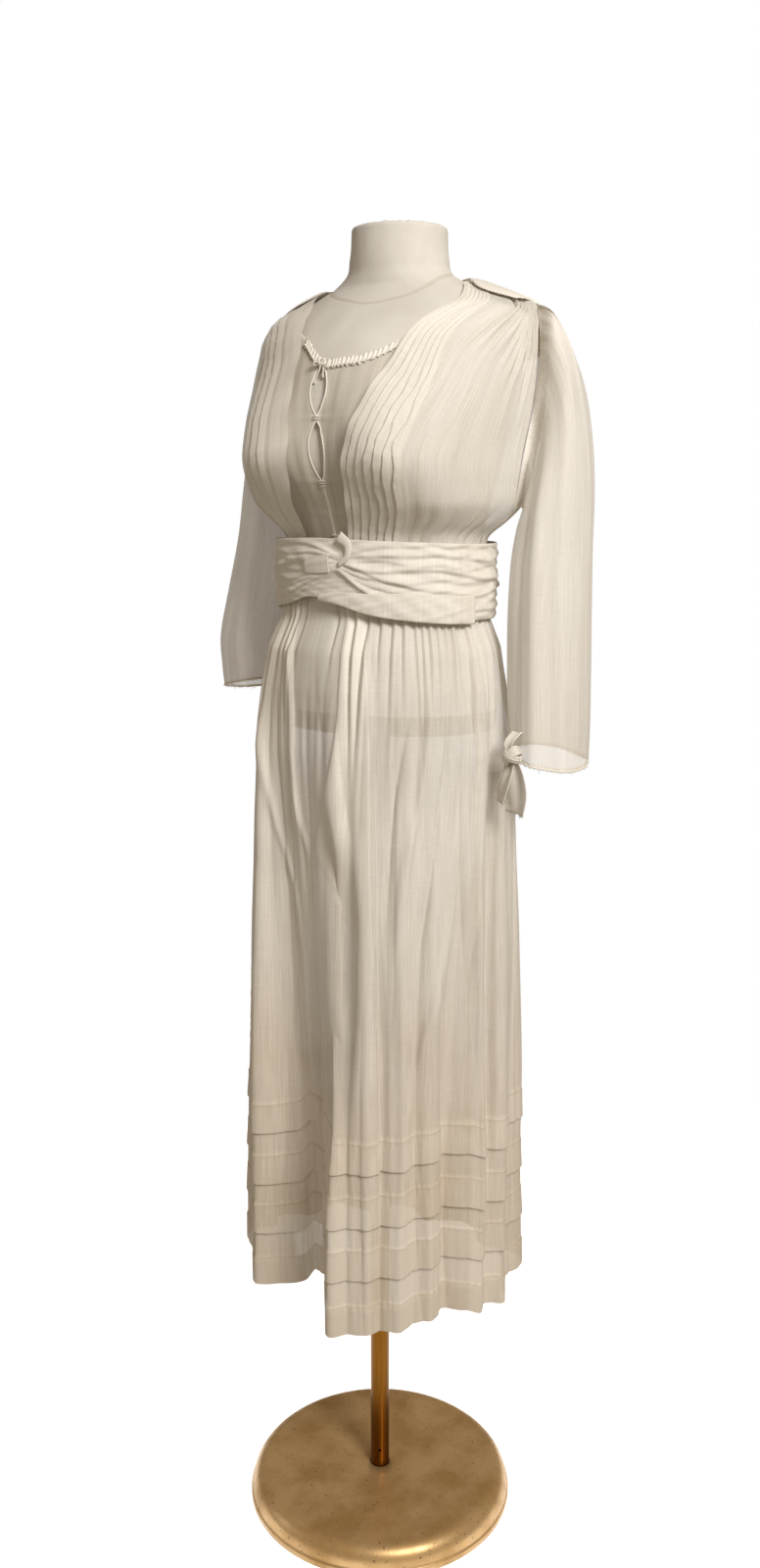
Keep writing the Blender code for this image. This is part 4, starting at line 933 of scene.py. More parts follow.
BODICE_SECTIONS = (
    Section(1.2550, 0.1285, 0.012, -0.0915, 0.1035),
    Section(1.2800, 0.1285, 0.013, -0.0915, 0.1040),
    Section(1.3040, 0.1320, 0.016, -0.0950, 0.1080),
    Section(1.3190, 0.1480, 0.024, -0.1020, 0.1200),
    Section(1.3350, 0.1610, 0.036, -0.1100, 0.1310),
    Section(1.3650, 0.1690, 0.048, -0.1220, 0.1400),
    Section(1.4050, 0.1740, 0.058, -0.1290, 0.1460),
    Section(1.4500, 0.1800, 0.064, -0.1280, 0.1490),
    Section(1.4950, 0.1830, 0.066, -0.1150, 0.1480),
    Section(1.5300, 0.1810, 0.065, -0.0965, 0.1400),
    Section(1.5500, 0.1760, 0.063, -0.0725, 0.1310),
    Section(1.5600, 0.1700, 0.062, -0.0520, 0.1240),
    Section(1.5700, 0.1500, 0.060, -0.0360, 0.1160),
    Section(1.5820, 0.1195, 0.056, -0.0250, 0.1110),
    Section(1.5940, 0.0880, 0.050, -0.0190, 0.1085),
    Section(1.6060, 0.0700, 0.046, -0.0190, 0.1080),
)
form_surface = body_surface(FORM_SECTIONS, (Swell(34, 1.395, 0.032, 16, 0.050, 0.036),))
bodice_surface = body_surface(
    BODICE_SECTIONS, (Swell(34, 1.395, 0.034, 16, 0.053, 0.036), Swell(54, 1.342, 0.017, 18, 0.045, 0.014))
)


@dataclass
class Form:
    """The padded torso: its jersey, the bound lower edge and the seam round the neck."""

    foot: float = 1.075
    top: float = 1.655
    binding_top: float = 1.0985
    seam_zone: tuple[float, float] = (1.558, 1.612)  # close rows, for the neck's seam
    columns: int = 144
    seam: tuple[Bend, ...] = (
        Bend(-180, 1.606), Bend(-110, 1.602), Bend(-60, 1.592), Bend(-14, 1.572), Bend(1, 1.566),
        Bend(16, 1.571), Bend(40, 1.586), Bend(80, 1.600), Bend(110, 1.603), Bend(180, 1.606),
    )
    seam_depth: float = 0.0006
    seam_half: float = 0.0013
    crown: tuple[tuple[float, float], ...] = ((0.985, 0.0016), (0.95, 0.0028), (0.80, 0.0042), (0.45, 0.0058))

    def build(self) -> None:
        """Make the torso.

        Formula: the form's surface, sunk by a bell curve of the height above the neck
        seam, raised a little on the binding, and closed by shrunken rings at both ends.
        """
        low, high = self.seam_zone
        heights = np.concatenate(
            [
                np.linspace(self.foot, self.binding_top - 0.001, 8),
                np.linspace(self.binding_top + 0.0005, low, 84),
                np.linspace(low + 0.0008, high, 62),
                np.linspace(high + 0.002, self.top, 14),
            ]
        )[::-1]
        turns = np.arange(self.columns) / self.columns * 2 * np.pi
        turn, height = np.meshgrid(turns, heights)
        seam = bell(height - round_value(self.seam, turn), self.seam_half)
        bound = fade(height, self.binding_top - 0.0006, self.binding_top + 0.0006)
        u, v = turn * MEAN_RADIUS, height
        calm = 0.2 + 0.8 * fade(height, 1.52, 1.60)
        lift = 0.0004 * calm * wander(u, v, 0.06, 0.08, 3) - self.seam_depth * seam + 0.0004 * bound
        points = moved_out(form_surface, turn, height, lift)
        rim = points[0]
        middle = rim.mean(axis=0)
        rough = 0.0007 * waver(turns * 0.06, 0.012, 5)
        crown = []
        for share, up in self.crown[::-1]:
            ring = middle + (rim - middle) * share
            ring[:, 2] += up + rough
            crown.append(ring)
        under = [points[-1] * (share, share, 1) for share in (0.985, 0.6, 0.09)]
        for ring in under[1:]:
            ring[:, 2] += 0.001
        points = np.concatenate([np.array(crown), points, np.array(under)])
        above, below = np.zeros((len(crown), self.columns)), np.ones((len(under), self.columns))
        layers = np.concatenate([above, bound, below])
        stitch = np.concatenate([above, seam * 0.4, below * 0])
        girth = np.linspace(0, 2 * np.pi, self.columns + 1) * MEAN_RADIUS
        across = np.broadcast_to(girth, (len(points), self.columns + 1))
        down = np.broadcast_to(-points[:, :1, 2], across.shape)
        patch = Patch(points, across, down, layers, stitch, True, True)
        torso = add_piece("jersey_torso", [patch], JERSEY)
        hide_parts("form_torso")


# ---- the underbodice


@dataclass
class Underbodice:
    """The fine underbodice: two halves, their corded edges, the edging and the bow."""

    out: float = 0.0031
    wall: float = 0.0010
    middle: float = math.radians(-2.5)
    side: float = math.radians(50)
    neck: tuple[Bend, ...] = (
        Bend(-50, 1.546), Bend(-32, 1.537), Bend(-15, 1.519), Bend(-4, 1.4965),
        Bend(10, 1.496), Bend(23.5, 1.5055), Bend(36, 1.530), Bend(50, 1.546),
    )
    gaps: tuple[tuple[float, float], ...] = ((1.491, 1.437), (1.430, 1.368))
    gap_half: float = 0.0078
    chest: float = 0.115
    top: float = 1.4965
    bottom: float = 1.262
    rows: int = 130
    columns: int = 56
    cord: float = 0.0009
    trim_turns: tuple[float, float] = (-16.5, 28.0)
    trim_width: float = 0.0095
    knot_height: float = 1.4915

    def neck_height(self, turn: Array) -> Array:
        """Height of the scooped neckline at a turn."""
        return through([math.radians(b.turn) for b in self.neck], [b.height for b in self.neck], turn)

    def placket_half(self, height: Array) -> Array:
        """Half the width between the two edges: a sine hump to the power 0.8 at each gap."""
        half = np.full(np.shape(height), SEAM / 2)
        for top, bottom in self.gaps:
            t = np.clip((height - bottom) / (top - bottom), 0, 1)
            half = half + self.gap_half * np.sin(np.pi * t) ** 0.8
        return half

    def edge(self, side: Side, heights: Array, out: float) -> tuple[Array, Array]:
        """Points and outward directions along one placket edge at heights."""
        turn = self.middle + side.value * (self.placket_half(heights) + self.cord * 0.6) / self.chest
        lift = np.full(turn.shape, self.out + self.wall + out)
        return moved_out(form_surface, turn, heights, lift), normals(form_surface, turn, heights)

    def half(self, side: Side) -> Patch:
        """One half as a patch, with slight creases that run to the fastenings.

        Formula: turns run evenly from the placket edge to the side, heights from the
        neckline to the waist, and the creases are bell curves about each fastening.
        """
        down = np.linspace(0, 1, self.rows)
        heights = self.top + (self.bottom - self.top) * down
        start = self.middle + side.value * self.placket_half(heights) / self.chest
        across = np.linspace(0, 1, self.columns) ** 1.15
        turn = start[:, None] + (side.value * self.side - start[:, None]) * across[None, :]
        top = self.neck_height(turn[0])
        height = top[None, :] + (self.bottom - top)[None, :] * down[:, None]
        u = np.abs(turn - self.middle) * self.chest
        v = self.top - height
        pulled = sum(
            np.exp(-(((height - at) / 0.006) ** 2) - (u / 0.022) ** 2) * np.cos((height - at) / 0.0022)
            for at in (1.4335, 1.366, 1.33)
        )
        lift = self.out + self.wall / 2 + 0.0005 * pulled + 0.0004 * rise(u, 0, 0.02) * wander(u, v, 0.02, 0.12, 11)
        edge = bell(u - self.placket_half(heights)[:, None], 0.0035)
        layers = np.clip(edge + bell(height - top[None, :], 0.004), 0, 1) * 0.8
        grids = [moved_out(form_surface, turn, height, lift), side.value * u, v, layers, edge * 0.5]
        if side is Side.RIGHT:
            grids = [grid[:, ::-1] for grid in grids]
        return Patch(*grids)

    def fastenings(self) -> list[Patch]:
        """Small worked bars that join the two edges, as short cords lying across."""
        bars = []
        for at in (1.4345, 1.4320, 1.3665, 1.3640, 1.3610, 1.305):
            turn = self.middle + np.linspace(-1, 1, 9) * 0.0034 / self.chest
            height = np.full(9, at) + 0.0006 * np.sin(np.linspace(0, np.pi, 9))
            lift = self.out + self.wall + self.cord * 1.6 - 0.0006 * np.linspace(-1, 1, 9) ** 2
            points = moved_out(form_surface, turn, height, lift)
            bars.append(tube(points, normals(form_surface, turn, height), 0.0007, 6))
        return bars

    def edging(self) -> tuple[list[Patch], list[Patch]]:
        """The gathered edging with its raw upper edge, and the rolled casing below it.

        Formula: the strip follows the neckline, its upper part waved by sines along its
        length, and its upper edge uneven by the same unevenness.

        Returns:
            The strip and the casing, and the loose threads.
        """
        columns = 260
        turns = np.radians(np.linspace(*self.trim_turns, columns))
        down = np.linspace(0, 1, 9)
        length = turns * self.chest
        ragged = 0.0009 * waver(length, 0.0032, 21)
        top = self.neck_height(turns) + 0.0012 + ragged
        height = top[None, :] - self.trim_width * down[:, None]
        turn = np.broadcast_to(turns, height.shape)
        wave = np.sin(2 * np.pi * length / 0.0036 + 1.5 * waver(length, 0.02, 22))
        lift = self.out + self.wall + 0.0012 + 0.0009 * wave[None, :] * (0.25 + 0.75 * (1 - down[:, None]) ** 0.7)
        points = moved_out(form_surface, turn, height, lift)
        across = np.broadcast_to(length, height.shape)
        ruffle = Patch(points, across, down[:, None] * self.trim_width * np.ones(columns), 0.9)
        low = self.neck_height(turns) + 0.0012 - self.trim_width * 0.82
        casing_points = moved_out(form_surface, turns, low, np.full(columns, self.out + self.wall + 0.0016))
        casing = tube(casing_points, normals(form_surface, turns, low), 0.0011 + 0.0002 * wave, 8)
        way = np.broadcast_to(np.array([0.0, -0.25, 0.8]), (columns, 3))
        return [ruffle, casing], frayed(points[0], way, 120, 0.0016, 23)

    def bow(self) -> list[Patch]:
        """A small tied bow: two loops, a knot and two hanging ends of narrow tape."""
        turn = np.array(self.middle)
        knot = moved_out(form_surface, turn, np.array(self.knot_height), np.array(self.out + 0.0063))
        patches = []
        swing = np.linspace(0, 2 * np.pi, 22)
        for sign, size in ((1, 0.0085), (-1, 0.0075)):
            loop = np.stack(
                [
                    sign * size * (1 - np.cos(swing)) / 2,
                    -0.0012 * (1 - np.cos(swing)),
                    0.0032 * np.sin(swing) - 0.0012 * (1 - np.cos(swing)),
                ],
                -1,
            )
            out = np.broadcast_to(np.array([0.0, -1.0, 0.15]), loop.shape)
            patches.append(tube(knot + loop, out, 0.0009, 6))
        for lean, reach in ((-0.007, 0.024), (0.006, 0.018)):
            share = np.linspace(0, 1, 14)
            line = knot + np.stack(
                [lean * share + 0.002 * np.sin(5 * share), -0.003 * share * (1 - share), -reach * share], -1
            )
            out = np.broadcast_to(np.array([0.0, -1.0, 0.0]), line.shape)
            patches.append(tube(line, out, 0.0009 * (1 + 0.5 * share**3), 6))
        ring = np.linspace(0, 2 * np.pi, 16, endpoint=False)
        band = knot + np.stack([0.0006 * np.sin(ring), -0.0012 - 0.0022 * np.cos(ring), 0.0030 * np.sin(ring)], -1)
        patches.append(tube(band, np.broadcast_to(np.array([1.0, 0.0, 0.1]), band.shape), 0.0013, 8, closed=True))
        return patches

    def build(self) -> None:
        """Make every piece of the underbodice."""
        for side in Side:
            half = add_piece("underbodice_" + side.word, [self.half(side)], FINE_VOILE, WALL)
            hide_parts("vest_" + side.word)
        heights = np.linspace(self.top + 0.001, self.bottom + 0.004, 130)
        cords = []
        for side in Side:
            points, out = self.edge(side, heights, 0.0)
            cords.append(tube(points, out, self.cord, 8))
        add_piece("placket_cords", cords + self.fastenings(), FINE_VOILE)
        strip_and_casing, threads = self.edging()
        trim = add_piece("neck_edging", strip_and_casing[:1], FINE_VOILE, WALL)
        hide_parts("neck_trim")
        add_piece("neck_casing", strip_and_casing[1:] + threads, FINE_VOILE)
        bow = add_piece("neck_bow", self.bow(), FINE_VOILE)
        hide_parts("neck_tie")


# ---- the bodice

ARMHOLE_FRONT = (
    Bend(89.7, SHOULDER_TIP), Bend(85.5, 1.535), Bend(84, 1.490), Bend(83.5, 1.430),
    Bend(84.5, 1.375), Bend(87, 1.348), Bend(89.7, UNDERARM),
)
ARMHOLE_BACK = (
    Bend(90.3, SHOULDER_TIP), Bend(97, 1.535), Bend(103, 1.490), Bend(104.5, 1.430),
    Bend(102, 1.375), Bend(96, 1.348), Bend(90.3, UNDERARM),
)
ARMHOLE_SHARE = 0.66  # of a panel's way down is beside the armhole
ARMHOLE_POINTS = 9


def side_edge(armhole: Sequence[Bend]) -> Callable[[Array], tuple[Array, Array]]:
    """The edge from the shoulder's tip round the armhole and down the side seam."""
    seam = straight(armhole[-1], Bend(armhole[-1].turn, WAIST_SEAM))

    def edge(shares: Array) -> tuple[Array, Array]:
        """Turn and height at shares of the way."""
        turn_a, height_a = along_edge(armhole, np.clip(shares / ARMHOLE_SHARE, 0, 1))
        turn_s, height_s = seam(np.clip((shares - ARMHOLE_SHARE) / (1 - ARMHOLE_SHARE), 0, 1))
        below = shares > ARMHOLE_SHARE
        return np.where(below, turn_s, turn_a), np.where(below, height_s, height_a)

    return edge


@dataclass
class Front:
    """One front: a folded edge, lengthways tucks, and fullness gathered in at both ends."""

    side: Side
    edge: tuple[Bend, ...]
    band: float
    tucks: int
    pitch: float = 0.058
    tuck_out: float = 0.0012
    lean: float = 0.88
    columns: int = 320
    rows: int = 130
    faces_armhole: bool = True
    narrowed: float = 1.0  # the tucked zone's share of its width that is left at the shoulder
    width: float = 0.175  # mean width of the panel, to weigh shares across in metres
    length: float = 0.34
    shoulder_gathers: tuple[float, ...] = (0.40, 0.47, 0.53, 0.60, 0.66, 0.72, 0.78, 0.84, 0.90)

    def relief(self, u: Array, v: Array, metres: Array) -> tuple[Array, Array, Array]:
        """Lift, doubling and stitching at shares across and down the panel.

        Formula: a tuck rises evenly over its pitch up to its ridge, then drops within a
        tenth of it, all of it smaller where the panel is drawn together. Gathers are
        creases in shares.

        Args:
            u: shares across from the folded edge.
            v: shares down from the shoulder.
            metres: width of the whole panel at each place.

        Returns:
            Lift in metres, doubling and stitching.
        """
        seed = 40 + self.side.value
        down = v * self.length
        drawn = np.clip(metres / self.width, 0.35, 1.0)
        whole, u = u, u / (self.narrowed + (1 - self.narrowed) * rise(v, 0.15, 0.60))
        lift = 0.0007 * fade(u, self.band * 0.8, self.band * 1.05)
        start = self.band + self.pitch * self.tucks
        layers = 0.55 * fade(u, start - 0.01, start + 0.005)
        stitch = 0.7 * bell((u - self.band) * self.width, 0.0008)
        ruffled = rise(v, 0.36, 0.48) * fade(v, 0.86, 0.98)
        for k in range(self.tucks):
            inner = 0.4 + 0.9 * k / self.tucks
            sway = 0.13 * inner * waver(down, 0.035, seed + k)
            jitter = 0.02 * waver(down, 0.010, seed + 9 + k)
            share = (u - self.band) / self.pitch - k - sway * ruffled - jitter
            share = share if self.faces_armhole else 1 - share
            up = np.clip(share / self.lean, 0, 1)
            drop = fade(share, self.lean, self.lean + 0.06)
            puff = 1 + 0.18 * waver(down, 0.008, seed + 20 + k) + 0.5 * inner * ruffled
            lift = lift + self.tuck_out * drawn * puff * up * drop * (share > 0)
            # Each tuck's drop carries a sewn line that the voile draws darker: thread, and painted shade of the drop
            stitch = np.maximum(stitch, 0.6 * bell((share - 0.94) * self.pitch * self.width, 0.0006))
        plain = rise(u, start, start + 0.03)
        draw = np.random.default_rng(seed)
        creases = []
        for at in self.shoulder_gathers:
            fan = 0.16 * (at - 0.62)
            end = at + fan + draw.normal(0, 0.012)
            reach = draw.uniform(0.20, 0.44)
            path = ((at, 0.0), (at + fan * 0.5, -reach * 0.4), (end, -reach))
            creases.append(Crease(path, -0.0058, 0.0028, Profile.PLEAT, 0.0, 0.08, 0.7))
            path = ((at + 0.032, 0.0), (at + 0.032 + fan * 0.5, -reach * 0.5), (end + 0.03, -reach * 1.25))
            creases.append(Crease(path, 0.0030, 0.0032, Profile.SOFT, 0.2, 0.0, 0.85))
        for at in np.linspace(start + 0.02, 0.97, 17):
            foot = at + draw.normal(0, 0.016)
            top = foot + draw.normal(0, 0.020)
            reach = draw.uniform(0.02, 0.26)
            deep = draw.uniform(0.0022, 0.0060)
            path = ((top, -0.94 + reach), (foot, -1.0))
            creases.append(Crease(path, -deep, 0.0034, Profile.PLEAT, 0.1, 0.75, 0.0001))
        folds, cover = creased(creases, whole, -v, metres)
        across = whole * self.width
        soft = 0.0007 * wander(across, down, 0.030, 0.60, seed + 31) * rise(v, 0.1, 0.5)
        fine = 0.00003 * wander(across, down, 0.008, 0.14, seed + 32)
        lift = lift + plain * (folds + soft + fine) * rise(1 - whole, 0, 0.05)
        edge_wave = 0.0012 * ruffled * np.exp(-u / 0.05) * (1 + np.sin(2 * np.pi * down / 0.034 + 1.0))
        return lift + edge_wave, np.maximum(layers, cover * plain), stitch

    def build(self) -> None:
        """Make the front on the bodice's surface."""
        across = np.linspace(0, 1, self.columns)
        down = np.linspace(0, 1, self.rows)
        shoulder = straight(self.edge[0], ARMHOLE_FRONT[0])
        waist = straight(self.edge[-1], Bend(ARMHOLE_FRONT[-1].turn, WAIST_SEAM))
        turn, height = coons(
            shoulder, waist, lambda shares: along_edge(self.edge, shares), side_edge(ARMHOLE_FRONT), across, down
        )
        u, v = np.meshgrid(across, down)
        flat = bodice_surface(turn, height)
        metres = np.linalg.norm(np.gradient(flat, across, axis=1), axis=-1)
        lift, layers, stitch = self.relief(u, v, metres)
        points = moved_out(bodice_surface, turn, height, CLOTH * 0.6 + lift)
        seam = bell((1 - u) * self.width, 0.003)
        patch = Patch(points, u * self.width, v * self.length, np.maximum(layers, seam), np.maximum(stitch, seam * 0.6))
        piece = add_piece("front_" + self.side.word, [patch.flipped(self.side)], VOILE)
        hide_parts("bodice_front_" + self.side.word)


@dataclass
class Back:
    """The back, gathered under the yoke and into the waist, and the yoke over it."""

    neckline: tuple[Bend, ...] = (Bend(90.3, NECK_END), Bend(112, 1.5975), Bend(140, 1.601), Bend(180, 1.602))
    columns: int = 240
    rows: int = 100
    width: float = 0.46
    length: float = 0.345
    yoke_neck: tuple[Bend, ...] = (
        Bend(76, 1.5885), Bend(90, 1.5900), Bend(112, 1.5965), Bend(140, 1.600), Bend(180, 1.601),
    )
    yoke_lower: tuple[Bend, ...] = (
        Bend(74, 1.5640), Bend(91, 1.5625), Bend(102, 1.5300), Bend(122, 1.512), Bend(150, 1.508), Bend(180, 1.507),
    )
    bulge: float = math.radians(11)
    flap: float = 0.22
    out_front: float = CLOTH + 0.0033
    out_back: float = CLOTH + 0.0024

    def top(self, shares: Array) -> tuple[Array, Array]:
        """The upper edge: up one shoulder, round the neck and down the other."""
        half = np.minimum(shares, 1 - shares) * 2
        turn_s, height_s = straight(ARMHOLE_BACK[0], self.neckline[0])(np.clip(half / 0.5, 0, 1))
        turn_n, height_n = along_edge(self.neckline, np.clip((half - 0.5) / 0.5, 0, 1))
        turn = np.where(half > 0.5, turn_n, turn_s)
        height = np.where(half > 0.5, height_n, height_s)
        return np.where(shares > 0.5, 2 * np.pi - turn, turn), height

    def panel(self) -> Patch:
        """The back's patch.

        Formula: a blend inside the neck, waist and two side edges, lifted by gathers
        below the yoke, gathers above the waist and a slow unevenness.
        """
        left = side_edge(ARMHOLE_BACK)

        def right(shares: Array) -> tuple[Array, Array]:
            """The left side's edge, mirrored."""
            turn, height = left(shares)
            return 2 * np.pi - turn, height

        waist = straight(Bend(ARMHOLE_BACK[-1].turn, WAIST_SEAM), Bend(360 - ARMHOLE_BACK[-1].turn, WAIST_SEAM))
        across = np.linspace(0, 1, self.columns)
        down = np.linspace(0, 1, self.rows)
        turn, height = coons(self.top, waist, left, right, across, down)
        u, v = np.meshgrid(across, down)
        draw = np.random.default_rng(61)
        creases = []
        for at in np.linspace(0.10, 0.90, 34):
            place = at + draw.normal(0, 0.004)
            foot = place + draw.normal(0, 0.008)
            path = ((place, -0.27), (foot, -draw.uniform(0.42, 0.68)))
            creases.append(Crease(path, -0.0020, 0.0028, Profile.PLEAT, 0.3, 0.06, 0.8))
        for at in np.linspace(0.04, 0.96, 40):
            place = at + draw.normal(0, 0.004)
            head = place + draw.normal(0, 0.008)
            path = ((head, -draw.uniform(0.68, 0.86)), (place, -1.0))
            creases.append(Crease(path, -0.0020, 0.0028, Profile.PLEAT, 0.3, 0.7, 0.0001))
        folds, cover = creased(creases, u, -v, self.width)
        sides = rise(np.minimum(u, 1 - u), 0, 0.05)
        x, y = u * self.width, v * self.length
        slow = 0.0010 * wander(x, y, 0.03, 0.30, 62) + 0.0003 * wander(x, y, 0.008, 0.1, 63)
        lift = CLOTH * 0.6 + 0.0004 + (folds + slow) * sides * rise(v, 0.05, 0.2)
        seam = bell(np.minimum(u, 1 - u) * self.width, 0.003)
        points = moved_out(bodice_surface, turn, height, lift)
        return Patch(points, x, y, np.maximum(seam, cover), seam * 0.6)

    def yoke(self) -> Patch:
        """The yoke's patch, double cloth with stitched edges, its ends over the shoulders.

        Formula: heights and turns run evenly from the neck edge to the lower edge. The
        wall lifts off more in front of the shoulder, and pillows a little between edges.
        """
        across = np.linspace(0, 1, 220)
        down = np.linspace(0, 1, 26)

        def both_sides(bends: Sequence[Bend], shares: Array) -> tuple[Array, Array]:
            """One half's edge on both sides of the middle."""
            turn, height = along_edge(bends, np.minimum(shares, 1 - shares) * 2)
            return np.where(shares > 0.5, 2 * np.pi - turn, turn), height

        point = fade(np.minimum(across, 1 - across) * 2, 0.0, self.flap) * np.where(across > 0.5, 1, -1)
        (turn_n, height_n), (turn_l, height_l) = both_sides(self.yoke_neck, across), both_sides(self.yoke_lower, across)
        v = down[:, None]
        turn = (1 - v) * turn_n + v * turn_l - self.bulge * np.sin(np.pi * v) * -point[None, :]
        height = (1 - v) * height_n + v * height_l
        forward = fade(np.abs(np.mod(turn, 2 * np.pi) - np.pi), np.radians(94), np.radians(72))
        off_edge = np.minimum(np.minimum(v, 1 - v) * 0.05, np.minimum(across, 1 - across)[None, :] * 0.5)
        pillow = 0.0010 * rise(off_edge, 0, 0.006)
        lift = self.out_back + (self.out_front - self.out_back) * forward + 0.0003 + pillow
        x = np.broadcast_to(across * 0.5, height.shape)
        lift = lift + 0.00035 * wander(x, height, 0.010, 0.03, 65)
        stitch = bell(off_edge - 0.003, 0.0006)
        return Patch(moved_out(bodice_surface, turn, height, lift), x, v * 0.09 * np.ones(len(across)), 1.0, stitch)

    def build(self) -> None:
        """Make the back and the yoke."""
        back = add_piece("back_panel", [self.panel()], VOILE)
        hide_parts("bodice_back")
        yoke = add_piece("yoke", [self.yoke()], VOILE, WALL * 2)
        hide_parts("back_yoke")


# ---- the sleeves


class Ring(NamedTuple):
    """An oval cut through a sleeve, from its outer edge to its inner edge."""

    outer_x: float
    outer_z: float
    inner_x: float
    inner_z: float
    y: float
    half_depth: float


class Tail(NamedTuple):
    """One end of a cuff tie: the way it hangs from the knot, its length and width."""

    lean_x: float
    lean_y: float
    length: float
    width: float


